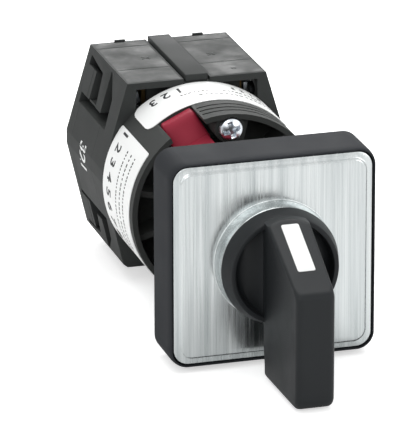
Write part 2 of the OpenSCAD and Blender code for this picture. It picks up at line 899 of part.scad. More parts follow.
// Room of one terminal, in the corner above or below the contact chamber
module terminal_room(from_y, to_y, top_z) {
    intersection() {
        box([fixed_x, from_y, pocket_low_z], [block_mid_w, to_y, top_z]);
        slab(from_y, to_y) children();
    }
}

// A window through the block's side, drawn in Y and Z
module side_window(from_x) {
    translate([from_x, 0, 0]) rotate([90, 0, 90]) linear_extrude(block_mid_w - from_x) children();
}

// The front terminals' slot, which runs over the joint of the two cells and narrows towards the top
module slot_shape(top_z) {
    knee_z = pocket_low_z + (top_z - pocket_low_z) * slot_knee_share;
    polygon([
        [slot_front_y, pocket_low_z], [slot_rear_y, pocket_low_z], [slot_rear_y, top_z + slot_rise],
        [slot_rear_y - slot_rise, top_z + slot_rise], [slot_front_y + slot_lean, knee_z]
    ]);
}

// The rear terminals' window, under a sloping top
module window_shape(top_z) {
    knee_z = pocket_low_z + (top_z - pocket_low_z) * barrier_knee_share;
    polygon([
        [window_y, pocket_low_z], [window_back_y, pocket_low_z], [window_back_y, top_z],
        [window_y + barrier_lean, knee_z], [window_y, pocket_low_z + foot_gap]
    ]);
}

module each_corner() {
    both_sides() {
        children(0);
        mirror([0, 0, 1]) children(1);
    }
}

module contact_guide(contact_y, wall_y) {
    half_h = plunger_half_h + slip_gap;
    low_y = contact_y - plunger_half_y - slip_gap;
    high_y = contact_y + plunger_half_y + slip_gap / 2;
    difference() {
        box([contact_guide_x, wall_y - cut, -half_h - contact_guide_wall],
            [contact_guide_x + contact_guide_l, high_y, half_h + contact_guide_wall]);
        box([contact_guide_x - cut, low_y, -half_h],
            [contact_guide_x + contact_guide_l + cut, high_y + cut, half_h]);
    }
}

module cell(from_y, to_y, room_y, contact_y, fixed_w) {
    wall_y = from_y + cell_wall;
    slot_half = fixed_w / 2 + slip_gap;
    difference() {
        slab(from_y, to_y) block_outline(0);
        difference() {
            intersection() {
                slab(wall_y, to_y + cut) block_outline(cell_wall);
                box([-block_mid_w, wall_y, -chamber_half_h], [block_mid_w, to_y + cut, chamber_half_h]);
            }
            both_sides() contact_guide(contact_y, wall_y);
        }
        rod(cam_room_r, wall_y, to_y + cut);
        rod(shaft_bore_r, from_y - cut, to_y);
        each_corner() {
            union() {
                terminal_room(room_y, to_y + cut, upper_pocket_z) block_outline(cell_wall);
                side_window(fixed_x) slot_shape(upper_pocket_z);
                side_window(fixed_x) window_shape(upper_pocket_z);
                foot_cut();
                terminal_screw_hole(contact_y, upper_screw_z);
            }
            union() {
                terminal_room(room_y, to_y + cut, lower_pocket_z) mirror([0, 1]) block_outline(cell_wall);
                side_window(fixed_x) slot_shape(lower_pocket_z);
                side_window(fixed_x) window_shape(lower_pocket_z);
                foot_cut();
                terminal_screw_hole(contact_y, lower_screw_z);
            }
        }
        each_corner() {
            strip_slot(contact_y, slot_half, to_y);
            strip_slot(contact_y, slot_half, to_y);
        }
        tie_places() rod(tie_hole_r, from_y - cut, to_y + cut);
        box([-groove_w / 2, from_y - cut, block_top - groove_depth_top],
            [groove_w / 2, to_y + cut, block_top + cut]);
    }
}

// The gap under the barrier, between the slot and the window
module foot_cut() {
    box([foot_gap_x(), slot_rear_y - cut, pocket_low_z], [block_mid_w, window_y + cut, pocket_low_z + foot_gap]);
}

// The ledge that runs back from the barrier's foot
module ledge() {
    ledge_x = foot_gap_x() + run_gap;
    box([ledge_x, window_y - cut, pocket_low_z + foot_gap - ledge_t],
        [ledge_x + ledge_w, window_y + ledge_l, pocket_low_z + foot_gap]);
}

module terminal_screw_hole(contact_y, z) {
    translate([0, contact_y, z]) cross_rod(terminal_shank_r + slip_gap, fixed_x - terminal_hole_l, fixed_x + cut);
}

module strip_slot(contact_y, slot_half, to_y) {
    box([fixed_x, contact_y - slot_half, chamber_half_h - cut],
        [fixed_x + fixed_t + slip_gap, to_y + cut, pocket_low_z + cut]);
}

module front_cell() {
    color([0.29, 0.3, 0.3]) difference() {
        cell(cell_front_y, split_y, cell_front_y + cell_wall, front_contact_y, fixed_w_front);
        both_sides()
            box([face_recess_x, cell_front_y - cut, face_recess_z],
                [side_x(block_top) - face_recess_side, cell_front_y + face_recess_depth, upper_pocket_z]);
    }
}

module rear_cell() {
    color([0.29, 0.3, 0.3]) {
        cell(split_y, cover_y, slot_rear_y + cell_wall, rear_contact_y, fixed_w_rear);
        both_sides() ledge();
    }
}

module end_cover() {
    color([0.27, 0.28, 0.28]) {
        difference() {
            union() {
                slab(cover_y, block_back) block_outline(0);
                both_sides()
                    box([nub_x - nub_w / 2, block_back - nub_l, block_top - nub_h],
                        [nub_x + nub_w / 2, block_back, block_top + nub_h]);
            }
            rod(tail_journal_r + run_gap, cover_y - cut, cover_y + tail_journal_l);
            each_corner() {
                side_window(fixed_x) window_shape(upper_pocket_z);
                side_window(fixed_x) window_shape(lower_pocket_z);
            }
            tie_places() rod(tie_hole_r, cover_y - cut, block_back + cut);
            tie_places() nut_shape(nut_af + 2 * slip_gap, nut_seat, block_back + cut);
            box([-groove_w / 2, cover_y - cut, block_top - groove_depth_top],
                [groove_w / 2, block_back + cut, block_top + cut]);
        }
        each_corner() {
            cover_boss((pocket_low_z + upper_pocket_z) / 2, 1) block_outline(0);
            cover_boss((pocket_low_z + lower_pocket_z) / 2, -1) mirror([0, 1]) block_outline(0);
        }
    }
}

// A round boss that closes a window from behind, trimmed to the block's outline
module cover_boss(boss_z, up) {
    intersection() {
        translate([side_x(up * boss_z) - cover_boss_inset, 0, boss_z])
            rod(cover_boss_r, cover_y - cover_boss_l, window_back_y + cut);
        slab(cover_y - cover_boss_l, window_back_y + cut) children();
    }
}

module top_strip() {
    color([0.35, 0.36, 0.36])
        box([-strip_w / 2, cell_front_y + strip_front_inset, block_top - groove_depth_top],
            [strip_w / 2, block_back, block_top + strip_rise]);
}

module cam_shaft() {
    color("lightgray") {
        square_shaft(shaft_joint_y + cam_shaft_gap / 2, cover_y - clear_gap);
        rod(tail_journal_r, cover_y - clear_gap - cut, cover_y + tail_journal_l - clear_gap);
    }
}

// A cam disc with a notch at each of its closing angles
module cam(centre_y, notch_angles) {
    half_t = cam_t / 2;
    low_r = cam_r - notch_depth;
    color("ivory") difference() {
        union() {
            rod(cam_r, centre_y - half_t, centre_y + half_t);
            rod(cam_hub_r, centre_y - half_t - cam_hub_l, centre_y + half_t + cam_hub_l);
        }
        for (angle = notch_angles)
            slab(centre_y - half_t - cut, centre_y + half_t + cut)
                arc_band(low_r, cam_r + cut, angle - notch_half_angle, angle + notch_half_angle);
        square_hole(centre_y - half_t - cam_hub_l, centre_y + half_t + cam_hub_l);
    }
}

module front_cam() { cam(front_contact_y, [0, 180]); }
module rear_cam() { cam(rear_contact_y, [0, 90, 180]); }

module plunger(contact_y) {
    color("ivory") {
        box([plunger_x, contact_y - plunger_half_y, -plunger_half_h],
            [bridge_x, contact_y + plunger_half_y, plunger_half_h]);
        translate([0, contact_y, 0]) cross_rod(post_r, bridge_x - cut, bridge_x + post_l);
    }
}

module front_plunger_left() { mirror([1, 0, 0]) plunger(front_contact_y); }
module front_plunger_right() { plunger(front_contact_y); }
module rear_plunger_left() { mirror([1, 0, 0]) plunger(rear_contact_y); }
module rear_plunger_right() { plunger(rear_contact_y); }

module bridge(contact_y) {
    color("goldenrod") difference() {
        union() {
            box([bridge_x, contact_y - bridge_w / 2, -bridge_half_l],
                [bridge_x + bridge_t, contact_y + bridge_w / 2, bridge_half_l]);
            for (side = [-1, 1])
                translate([0, contact_y, side * tip_z])
                    cross_rod(tip_r, bridge_x - bridge_tip_t, bridge_x + bridge_t / 2);
        }
        translate([0, contact_y, 0]) cross_rod(post_r + run_gap, bridge_x - cut, bridge_x + bridge_t + cut);
    }
}

module front_bridge_left() { mirror([1, 0, 0]) bridge(front_contact_y); }
module front_bridge_right() { bridge(front_contact_y); }
module rear_bridge_left() { mirror([1, 0, 0]) bridge(rear_contact_y); }
module rear_bridge_right() { bridge(rear_contact_y); }

module contact_springs(contact_y) {
    color("silver") both_sides() translate([0, contact_y, 0]) coil_spring(spring_from_x, spring_to_x, spring_r);
}

module front_contact_springs() { contact_springs(front_contact_y); }
module rear_contact_springs() { contact_springs(rear_contact_y); }

// One fixed contact: a strip from beside the bridge's tip to the terminal
module fixed_contact(contact_y, w, end_z, screw_z) {
    difference() {
        union() {
            box([fixed_x, contact_y - w / 2, fixed_from_z],
                [fixed_x + fixed_t, contact_y + w / 2, end_z - fixed_end_gap]);
            translate([0, contact_y, tip_z]) cross_rod(tip_r, fixed_x + fixed_t / 2, fixed_face_x);
        }
        translate([0, contact_y, screw_z])
            cross_rod(terminal_shank_r + run_gap, fixed_x - cut, fixed_x + fixed_t + cut);
    }
}

module fixed_contacts(contact_y, w) {
    color("goldenrod") each_corner() {
        fixed_contact(contact_y, w, upper_pocket_z, upper_screw_z);
        fixed_contact(contact_y, w, lower_pocket_z, lower_screw_z);
    }
}

module front_fixed_contacts() { fixed_contacts(front_contact_y, fixed_w_front); }
module rear_fixed_contacts() { fixed_contacts(rear_contact_y, fixed_w_rear); }

module terminal_screw(contact_y, z, head_r, head_x, head_t) {
    translate([0, contact_y, z]) {
        cross_rod(terminal_shank_r, fixed_x - terminal_hole_l + slip_gap, head_x + run_gap);
        cross_rod(head_r, head_x, head_x + head_t);
    }
}

module terminal_screws(contact_y, head_r, head_x, head_t) {
    color("gray") each_corner() {
        terminal_screw(contact_y, upper_screw_z, head_r, head_x, head_t);
        terminal_screw(contact_y, lower_screw_z, head_r, head_x, head_t);
    }
}

module front_terminal_screws() {
    terminal_screws(front_contact_y, front_screw_head_r, front_head_x, front_head_t);
}

module rear_terminal_screws() {
    terminal_screws(rear_contact_y, rear_screw_head_r, rear_head_x, rear_head_t);
}

module terminal_clamp(contact_y, z, w) {
    difference() {
        box([clamp_x, contact_y - w / 2, z - clamp_h / 2], [clamp_x + clamp_t, contact_y + w / 2, z + clamp_h / 2]);
        translate([0, contact_y, z]) cross_rod(terminal_shank_r + run_gap, clamp_x - cut, clamp_x + clamp_t + cut);
    }
}

module terminal_clamps() {
    color("silver") each_corner() {
        union() {
            terminal_clamp(front_contact_y, upper_screw_z, clamp_front_w);
            terminal_clamp(rear_contact_y, upper_screw_z, clamp_rear_w);
        }
        union() {
            terminal_clamp(front_contact_y, lower_screw_z, clamp_front_w);
            terminal_clamp(rear_contact_y, lower_screw_z, clamp_rear_w);
        }
    }
}

module tie_screws() {
    color("silver") tie_places() {
        rod(tie_r, tie_seat - run_gap, tie_end);
        rod(tie_head_r, tie_seat - tie_head_t, tie_seat);
    }
}

module nut_shape(af, from_y, to_y) {
    slab(from_y, to_y) rotate(30) circle(d = af / cos(30), $fn = 6);
}

module tie_nuts() {
    color("silver") tie_places() difference() {
        nut_shape(nut_af, nut_seat, nut_seat + tie_nut_t);
        rod(tie_r + run_gap, nut_seat - cut, nut_seat + tie_nut_t + cut);
    }
}

bezel();
legend_plate();
handle();
pointer_insert();
grip_clip();
front_shaft();
shaft_circlip();
mounting_neck();
flange_screws();
panel_gasket();
shaft_seal();
lock_washer();
ring_nut();
mounting_collar();
release_latch();
upper_label();
side_label();
detent_wheel();
detent_follower_left();
detent_follower_right();
detent_spring_left();
detent_spring_right();
front_cell();
rear_cell();
end_cover();
top_strip();
cam_shaft();
front_cam();
rear_cam();
front_plunger_left();
front_plunger_right();
rear_plunger_left();
rear_plunger_right();
front_bridge_left();
front_bridge_right();
rear_bridge_left();
rear_bridge_right();
front_contact_springs();
rear_contact_springs();
front_fixed_contacts();
rear_fixed_contacts();
front_terminal_screws();
rear_terminal_screws();
terminal_clamps();
tie_screws();
tie_nuts();
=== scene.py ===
"""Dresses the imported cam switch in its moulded, brushed, plated and printed finishes.

Lengths are in millimetres unless a name says otherwise, and become metres where a mesh or a
texture is made. X points right, Z up and +Y back along the switch axis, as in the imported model.
"""
import logging
import math
from dataclasses import dataclass
from enum import Enum
from itertools import product
from typing import Iterable, Sequence

import bmesh
import bpy
import numpy as np
from bpy.types import Material, Mesh, Node, NodeSocket, NodeTree, Object
from mathutils import Matrix


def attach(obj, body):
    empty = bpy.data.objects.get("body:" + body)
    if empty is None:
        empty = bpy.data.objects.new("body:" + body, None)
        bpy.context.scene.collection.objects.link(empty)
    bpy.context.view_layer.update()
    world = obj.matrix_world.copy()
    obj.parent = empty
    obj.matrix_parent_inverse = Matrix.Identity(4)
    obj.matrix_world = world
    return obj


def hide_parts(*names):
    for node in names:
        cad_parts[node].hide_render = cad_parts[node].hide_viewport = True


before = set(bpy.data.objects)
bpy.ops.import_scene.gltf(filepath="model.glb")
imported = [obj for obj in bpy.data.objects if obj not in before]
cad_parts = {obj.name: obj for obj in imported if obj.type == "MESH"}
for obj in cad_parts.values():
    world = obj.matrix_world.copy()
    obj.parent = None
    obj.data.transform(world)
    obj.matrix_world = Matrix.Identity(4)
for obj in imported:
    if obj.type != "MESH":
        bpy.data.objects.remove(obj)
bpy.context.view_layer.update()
LOG = logging.getLogger("cam_switch")
MM = 0.001
Pair = tuple[float, float]
Triple = tuple[float, float, float]
Settings = dict[str | int, object]
Links = dict[str | int, NodeSocket]
# Heights on the block's side, and how far its wall stands from the axis there
SIDE_WALL = ((-19.0, 0.0, 3.0, 22.3), (16.9, 21.4, 21.4, 15.7))
# A noise's values lie mostly between these
NOISE_LOW, NOISE_HIGH = 0.3, 0.7
# A quarter turn in radians
QUARTER = np.pi / 2
# Points in each corner of a rounded square
SQUARE_CORNER = 25


class Body(Enum):
    """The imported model's bodies that dressed pieces ride on."""

    FIXED = "root"
    OPERATOR = "operator"
    RELEASE = "release"


class Slot(Enum):
    """The record's material slots that dressed pieces take."""

    BEZEL = "bezel_plastic"
    PLATE = "brushed_plate"
    HANDLE = "handle_plastic"
    WHITE = "white_plastic"
    HOUSING = "housing_plastic"
    RED = "red_plastic"
    LABEL = "label_white"
    RUBBER = "seal_rubber"
    ZINC = "zinc_steel"
    TERMINAL = "terminal_steel"


class Recess(Enum):
    """The drive that is pressed into a screw's head."""

    CROSS = "cross"
    SLOT = "slot"


# Colour and nodes


def linear(colour: str) -> tuple[float, float, float, float]:
    """Turns an sRGB hex colour into Blender's linear one.

    Args:
        colour: Six hex digits after a hash sign.

    Returns:
        Red, green, blue and alpha, linear.
    """
    parts = [int(colour[i:i + 2], 16) / 255 for i in (1, 3, 5)]
    red, green, blue = (p / 12.92 if p <= 0.04045 else ((p + 0.055) / 1.055) ** 2.4 for p in parts)
    return red, green, blue, 1.0


def add_node(tree: NodeTree, kind: str, settings: Settings | None = None,
             links: Links | None = None) -> Node:
    """Adds one node with its settings and its incoming links.

    Args:
        tree: The tree that the node joins.
        kind: Blender's type name of the node.
        settings: Values by input name or number, or else by the node's own attribute.
        links: Sockets to connect, by input name or number.

    Returns:
        The node.
    """
    node = tree.nodes.new(kind)
    inputs = {socket.name for socket in node.inputs}
    for key, value in (settings or {}).items():
        if isinstance(key, int) or key in inputs:
            node.inputs[key].default_value = value
        else:
            setattr(node, key, value)
    for key, socket in (links or {}).items():
        tree.links.new(socket, node.inputs[key])
    return node


def new_material(name: str) -> tuple[Material, NodeTree]:
    """Makes an empty node material.

    Args:
        name: The material's name.

    Returns:
        The material and its cleared tree.
    """
    material = bpy.data.materials.new(name)
    material.use_nodes = True
    material.node_tree.nodes.clear()
    return material, material.node_tree


def scale_of(size: float) -> float:
    """The texture scale whose features are about that many millimetres across."""
    return 1.0 / (size * MM)


@dataclass(frozen=True)
class Finish:
    """A surface: two tones that one pattern mixes, with a gloss and a relief that vary."""

    name: str
    colour: str
    other_colour: str
    roughness: float

    def material(self) -> Material:
        """Builds the node material, with patterns in the object's own coordinates.

        Returns:
            The material.
        """
        material, tree = new_material(self.name)
        self.draw(tree, add_node(tree, "ShaderNodeTexCoord").outputs["Object"])
        return material

    def draw(self, tree: NodeTree, place: NodeSocket) -> None:
        """Adds the finish's own patterns, and ends the tree with them.

        Args:
            tree: The material's tree.
            place: Object coordinates.
        """
        raise NotImplementedError

    def end(self, tree: NodeTree, patterns: Sequence[NodeSocket],
            spread: Pair, depth: float, settings: Settings) -> None:
        """Ends the tree with a shader whose tone, gloss and relief follow patterns.

        Args:
            tree: The material's tree.
            patterns: What the share of the other tone, the gloss and the relief follow.
            spread: How far the roughness runs below and above its mean.
            depth: Depth of the relief.
            settings: The shader's own constant values.
        """
        share, gloss, height = patterns
        tone = add_node(tree, "ShaderNodeMix", {
            "data_type": "RGBA", 6: linear(self.colour), 7: linear(self.other_colour)}, {0: share})
        rough = add_node(tree, "ShaderNodeMapRange", {
            "From Min": NOISE_LOW, "From Max": NOISE_HIGH, "To Min": self.roughness - spread[0],
            "To Max": self.roughness + spread[1]}, {"Value": gloss})
        bump = add_node(tree, "ShaderNodeBump", {"Distance": depth * MM}, {"Height": height})
        shader = add_node(tree, "ShaderNodeBsdfPrincipled", settings, {
            "Base Color": tone.outputs[2], "Roughness": rough.outputs["Result"],
            "Normal": bump.outputs["Normal"]})
        add_node(tree, "ShaderNodeOutputMaterial", links={"Surface": shader.outputs["BSDF"]})


@dataclass(frozen=True)
class MouldedPlastic(Finish):
    """Injection-moulded thermoplastic.

    The tool's spark-eroded face gives a fine satin grain, and the melt's flow gives broad,
    faint changes of tone and gloss.
    """

    specular: float = 0.5
    # Real grain is near 0.1 mm, and drawn coarser so that it still shows from a step away
    grain: float = 0.45
    grain_depth: float = 0.006
    flow: float = 11.0
    subsurface: float = 0.0
    gloss_spread: float = 0.055

    def draw(self, tree: NodeTree, place: NodeSocket) -> None:
        """Lets tone and gloss follow the flow, and the relief the grain.

        Args:
            tree: The material's tree.
            place: Object coordinates.
        """
        flow = add_node(tree, "ShaderNodeTexNoise", {
            "Scale": scale_of(self.flow), "Detail": 3.0, "Roughness": 0.55}, {"Vector": place})
        grain = add_node(tree, "ShaderNodeTexNoise", {"Scale": scale_of(self.grain), "Detail": 2.0},
                         {"Vector": place})
        flow_value = flow.outputs["Fac"]
        self.end(tree, (flow_value, flow_value, grain.outputs["Fac"]),
                 (self.gloss_spread, self.gloss_spread), self.grain_depth,
                 {"Specular IOR Level": self.specular, "Subsurface Weight": self.subsurface,
                  "Subsurface Scale": 1.2 * MM, "IOR": 1.5})


@dataclass(frozen=True)
class BrushedMetal(Finish):
    """Sheet metal brushed along Z with an abrasive belt.

    Long parallel scratches give fine upright streaks of tone and gloss, and spread each
    reflection sideways.
    """

    # A belt's scratches are 0.02 to 0.1 mm wide, drawn coarser so that they show
    scratch: float = 0.32
    scratch_length: float = 26.0
    band: float = 1.7
    band_length: float = 65.0
    scratch_share: float = 0.6
    depth: float = 0.003

    def draw(self, tree: NodeTree, place: NodeSocket) -> None:
        """Lets the tone follow scratches and bands, and gloss and relief the scratches.

        Args:
            tree: The material's tree.
            place: Object coordinates.
        """
        fine, broad = (self._streaks(tree, place, width, length) for width, length in (
            (self.scratch, self.scratch_length), (self.band, self.band_length)))
        both = add_node(tree, "ShaderNodeMath", {
            "operation": "MULTIPLY_ADD", 1: self.scratch_share}, {0: fine, 2: broad})
        # The sum's own middle range
        share = add_node(tree, "ShaderNodeMapRange", {"From Min": 0.5, "From Max": 1.1},
                         {"Value": both.outputs[0]})
        self.end(tree, (share.outputs["Result"], fine, fine), (0.06, 0.08), self.depth,
                 {"Metallic": 1.0})

    def _streaks(self, tree: NodeTree, place: NodeSocket,
                 width: float, length: float) -> NodeSocket:
        """Noise drawn out along Z.

        Args:
            tree: The material's tree.
            place: Object coordinates.
            width: Width of a streak.
            length: Length of a streak.

        Returns:
            The noise's value socket.
        """
        across, along = scale_of(width), scale_of(length)
        stretched = add_node(tree, "ShaderNodeMapping", {"Scale": (across, across, along)},
                             {"Vector": place})
        return add_node(tree, "ShaderNodeTexNoise", {"Scale": 1.0, "Detail": 3.0},
                        {"Vector": stretched.outputs["Vector"]}).outputs["Fac"]


@dataclass(frozen=True)
class PlainMetal(Finish):
    """Plated, drawn or stamped metal.

    Faint cloudy stains change its gloss, and fine pits break up the highlights.
    """

    stain: float = 2.2
    pit: float = 0.3
    pit_depth: float = 0.003

    def draw(self, tree: NodeTree, place: NodeSocket) -> None:
        """Lets tone and gloss follow the stains, and the relief the pits.

        Args:
            tree: The material's tree.
            place: Object coordinates.
        """
        stain, pits = (add_node(tree, "ShaderNodeTexNoise", {
            "Scale": scale_of(size), "Detail": detail}, {"Vector": place}).outputs["Fac"]
            for size, detail in ((self.stain, 4.0), (self.pit, 2.0)))
        self.end(tree, (stain, stain, pits), (0.06, 0.12), self.pit_depth, {"Metallic": 1.0})


# Finishes, each named for what the real one is made of, and some also for the light or shade
# painted into them
BEZEL_PLASTIC = MouldedPlastic("glass_filled_polyamide_bezel", "#26282b", "#2e3033", 0.74, 0.1)
HANDLE_PLASTIC = MouldedPlastic("polyamide_grip_black", "#1a1c1e", "#202325", 0.5, 0.2)
HOUSING_PLASTIC = MouldedPlastic("phenolic_grey_housing", "#303231", "#3a3c3b", 0.66, 0.16)
CELL_PLASTIC = MouldedPlastic("phenolic_grey_cell", "#2c2e2e", "#373938", 0.66, 0.14)
COVER_PLASTIC = MouldedPlastic("phenolic_grey_cover", "#2e3030", "#383a39", 0.66, 0.14)
NECK_PLASTIC = MouldedPlastic("polyamide_black_neck", "#17191a", "#202223", 0.5, 0.14)
# The pads' lighter patches of tone are a painted sheen, and their gloss varies in the same patches
TOP_PLASTIC = MouldedPlastic("phenolic_grey_pad_painted_sheen", "#2e302f", "#3c3e3d", 0.6, 0.16,
                             flow=5.0, gloss_spread=0.14)
WHITE_PLASTIC = MouldedPlastic("white_acetal_pointer", "#f2f3f2", "#e8eae9", 0.4, 0.4,
                               grain_depth=0.002)
RED_PLASTIC = MouldedPlastic("red_acetal_latch", "#8d2033", "#9a2a3e", 0.5, 0.2, grain_depth=0.003)
NATURAL_PLASTIC = MouldedPlastic("natural_acetal_cam", "#e6e0d0", "#d8d1bf", 0.42, 0.4,
                                 subsurface=0.1)
LABEL_FILM = MouldedPlastic("white_polyester_label", "#f4f5f4", "#eceeed", 0.36, 0.4,
                            grain=0.8, grain_depth=0.0015, flow=16.0)
INK = MouldedPlastic("black_printed_ink", "#1a1c1e", "#26282a", 0.5, 0.2, grain_depth=0.001)
WHITE_INK = MouldedPlastic("white_pad_printed_ink", "#f0f1f0", "#dfe2e1", 0.5, 0.3,
                           grain_depth=0.001)
SEAL_RUBBER = MouldedPlastic("nitrile_rubber_seal", "#17181a", "#202224", 0.8, 0.15,
                             grain_depth=0.015)
BRUSHED_PLATE = BrushedMetal("brushed_anodised_aluminium", "#d0d4d4", "#a8aeaf", 0.22)
PLATE_BORDER = BrushedMetal("brushed_aluminium_border", "#9ba2a3", "#868d8e", 0.3)
# Drawn aluminium for the knob's ring and the plate's raised bevel, near white as a painted
# highlight
BRIGHT_RING = PlainMetal("drawn_aluminium_ring_painted_highlight", "#fefefe", "#f9fafa", 0.34,
                         stain=14.0, pit=1.2, pit_depth=0.0004)
ZINC_STEEL = PlainMetal("bright_zinc_plated_steel", "#e6eaee", "#c6ced6", 0.26)
SHAFT_STEEL = PlainMetal("drawn_shaft_steel", "#c4c7c9", "#a9adb0", 0.28)
SPRING_STEEL = PlainMetal("stainless_spring_steel", "#c9ccce", "#adb0b4", 0.24)
# Terminal steel darkened as painted shade, for screws that sit in shadow in the block's windows
TERMINAL_STEEL = PlainMetal("terminal_steel_painted_shade", "#5d6062", "#4b4e51", 0.42)
# Contact brass darkened as painted shade, for contacts that sit in shadow inside the cells
CONTACT_BRASS = PlainMetal("contact_brass_painted_shade", "#5e4f35", "#473a26", 0.46)

_MADE: dict[str, Material] = {}


def finish_of(kind: Finish) -> Material:
    """The one material of a finish, made when it is first asked for.

    Args:
        kind: The finish.

    Returns:
        Its material.
    """
    if kind.name not in _MADE:
        _MADE[kind.name] = kind.material()
    return _MADE[kind.name]


# Shapes as whole arrays of points


def xyz(x: np.ndarray, y: np.ndarray, z: np.ndarray) -> np.ndarray:
    """Points of three coordinates, each an array or one value for all of them."""
    return np.stack(np.broadcast_arrays(x, y, z), axis=-1)


def polar(radius: np.ndarray, angle: np.ndarray, y: np.ndarray) -> np.ndarray:
    """Points about the Y axis: (r cos a, y, r sin a) for a radius r and an angle a in radians."""
    return xyz(radius * np.cos(angle), y, radius * np.sin(angle))


def around(steps: int) -> np.ndarray:
    """Even angles in radians round a full turn."""
    return np.linspace(0, 2 * np.pi, steps, endpoint=False)


def rotated(u: np.ndarray, v: np.ndarray, angle: float) -> tuple[np.ndarray, np.ndarray]:
    """Two coordinates turned by an angle in radians, from the first one towards the second."""
    return u * math.cos(angle) - v * math.sin(angle), u * math.sin(angle) + v * math.cos(angle)


def rounded_square(width: float, corner_r: float, y: float) -> np.ndarray:
    """A square with quarter-circle corners, in the plane at y.

    Each corner's centre lies on a diagonal, half the width less the radius from the axis both
    ways, and the outline adds the radius times the cosine and sine of a turn from 0 to 360
    degrees. A radius of half the width gives a circle.

    Args:
        width: Width across the flats.
        corner_r: Radius of the corners.
        y: Distance along the axis.

    Returns:
        Points of shape (4 * SQUARE_CORNER, 3).
    """
    corner = np.arange(4)[:, None] * QUARTER
    turn = corner + np.linspace(0, QUARTER, SQUARE_CORNER)
    reach = (width / 2 - corner_r) * math.sqrt(2)
    x = reach * np.cos(corner + QUARTER / 2) + corner_r * np.cos(turn)
    z = reach * np.sin(corner + QUARTER / 2) + corner_r * np.sin(turn)
    return xyz(x, y, z).reshape(-1, 3)


def turned(profile: Iterable[Pair], steps: int = 128) -> np.ndarray:
    """A profile in radius and Y, turned about the Y axis.

    A point at radius r goes to (r cos a, y, r sin a) for evenly spaced angles a.

    Args:
        profile: Pairs of radius and y.
        steps: Points round the axis.

    Returns:
        A grid of shape (profile points, steps, 3).
    """
    line = np.array(list(profile), float)
    return polar(line[:, :1], around(steps), line[:, 1:])


def arc(centre: Pair, radii: Pair, start: float, end: float, steps: int) -> list[Pair]:
    """Points on part of an ellipse: centre plus radii times the cosine and sine of an angle.

    Args:
        centre: Middle of the ellipse.
        radii: Its half axes.
        start: First angle in degrees.
        end: Last angle in degrees.
        steps: Spans between the points.

    Returns:
        The points as pairs.
    """
    angle = np.radians(np.linspace(start, end, steps + 1))
    return [(centre[0] + radii[0] * math.cos(a), centre[1] + radii[1] * math.sin(a)) for a in angle]


def rounded_outline(corners: list[Triple], steps: int) -> np.ndarray:
    """A polygon whose corners are arcs.

    At each corner the arc touches both edges: its centre lies on the inner bisector, the radius
    over the sine of half the corner's angle away, and its points are the centre plus the radius
    times unit vectors that turn evenly from one edge's outward normal to the next one's.

    Args:
        corners: Each corner's two coordinates and radius, anticlockwise.
        steps: Spans in each arc.

    Returns:
        Points of shape (corners * (steps + 1), 2).
    """
    data = np.array(corners, float)
    here, radius = data[:, :2], data[:, 2:]
    before = here - np.roll(here, 1, axis=0)
    after = np.roll(here, -1, axis=0) - here
    before /= np.linalg.norm(before, axis=1, keepdims=True)
    after /= np.linalg.norm(after, axis=1, keepdims=True)
    normal_in = np.stack([before[:, 1], -before[:, 0]], axis=1)
    normal_out = np.stack([after[:, 1], -after[:, 0]], axis=1)
    bisector = normal_in + normal_out
    bisector /= (normal_in * bisector).sum(axis=1, keepdims=True)
    centre = here - radius * bisector
    start = np.arctan2(normal_in[:, 1], normal_in[:, 0])
    turn = np.arctan2(normal_out[:, 1], normal_out[:, 0]) - start
    turn = (turn + np.pi) % (2 * np.pi) - np.pi
    angle = start[:, None] + turn[:, None] * np.linspace(0, 1, steps + 1)[None, :]
    unit = np.stack([np.cos(angle), np.sin(angle)], axis=-1)
    return (centre[:, None, :] + radius[:, None, :] * unit).reshape(-1, 2)


def outline_normals(outline: np.ndarray) -> np.ndarray:
    """Unit normals of a closed outline across each point's neighbours, turned outwards.

    Args:
        outline: Points of shape (n, 2), in order round it.

    Returns:
        A normal for each point, in the same shape.
    """
    along = np.roll(outline, -1, axis=0) - np.roll(outline, 1, axis=0)
    along /= np.maximum(np.linalg.norm(along, axis=1, keepdims=True), 1e-9)
    normal = np.stack([along[:, 1], -along[:, 0]], axis=1)
    outwards = (normal * (outline - outline.mean(axis=0))).sum() > 0
    return normal if outwards else -normal


def smooth_step(value: np.ndarray, start: float, end: float) -> np.ndarray:
    """Rises from 0 at start to 1 at end along a cubic with level ends."""
    share = np.clip((value - start) / (end - start), 0, 1)
    return share * share * (3 - 2 * share)


def about_axis(points: np.ndarray, degrees: float) -> np.ndarray:
    """Turns points about the Y axis, anticlockwise as seen from the front.

    Args:
        points: Points of shape (..., 3).
        degrees: How far they turn.

    Returns:
        The turned points.
    """
    x, y, z = np.moveaxis(points, -1, 0)
    x, z = rotated(x, z, math.radians(degrees))
    return xyz(x, y, z)


def rounded_box(low: Triple, high: Triple, edge: float) -> np.ndarray:
    """A box with rounded edges, as sections along Y.

    Each section is a rounded rectangle in X and Z. The end sections are drawn in by a quarter
    circle, edge times one less its sine, while Y moves by edge times one less its cosine.

    Args:
        low: Lowest corner.
        high: Highest corner.
        edge: Radius of the edges.

    Returns:
        Sections of shape (n, points, 3) for a loft.
    """
    steps = 3
    turn = np.linspace(0, QUARTER, steps + 1)
    inset = edge * (1 - np.sin(turn))
    front = low[1] + edge * (1 - np.cos(turn))
    ys = np.concatenate([front, (high[1] + low[1] - front)[::-1]])
    insets = np.concatenate([inset, inset[::-1]])
    sections = []
    for y, away in zip(ys, insets):
        left, right, bottom, top = low[0] + away, high[0] - away, low[2] + away, high[2] - away
        flat = rounded_outline([(left, bottom, edge), (right, bottom, edge), (right, top, edge),
                                (left, top, edge)], steps)
        sections.append(xyz(flat[:, 0], y, flat[:, 1]))
    return np.array(sections)


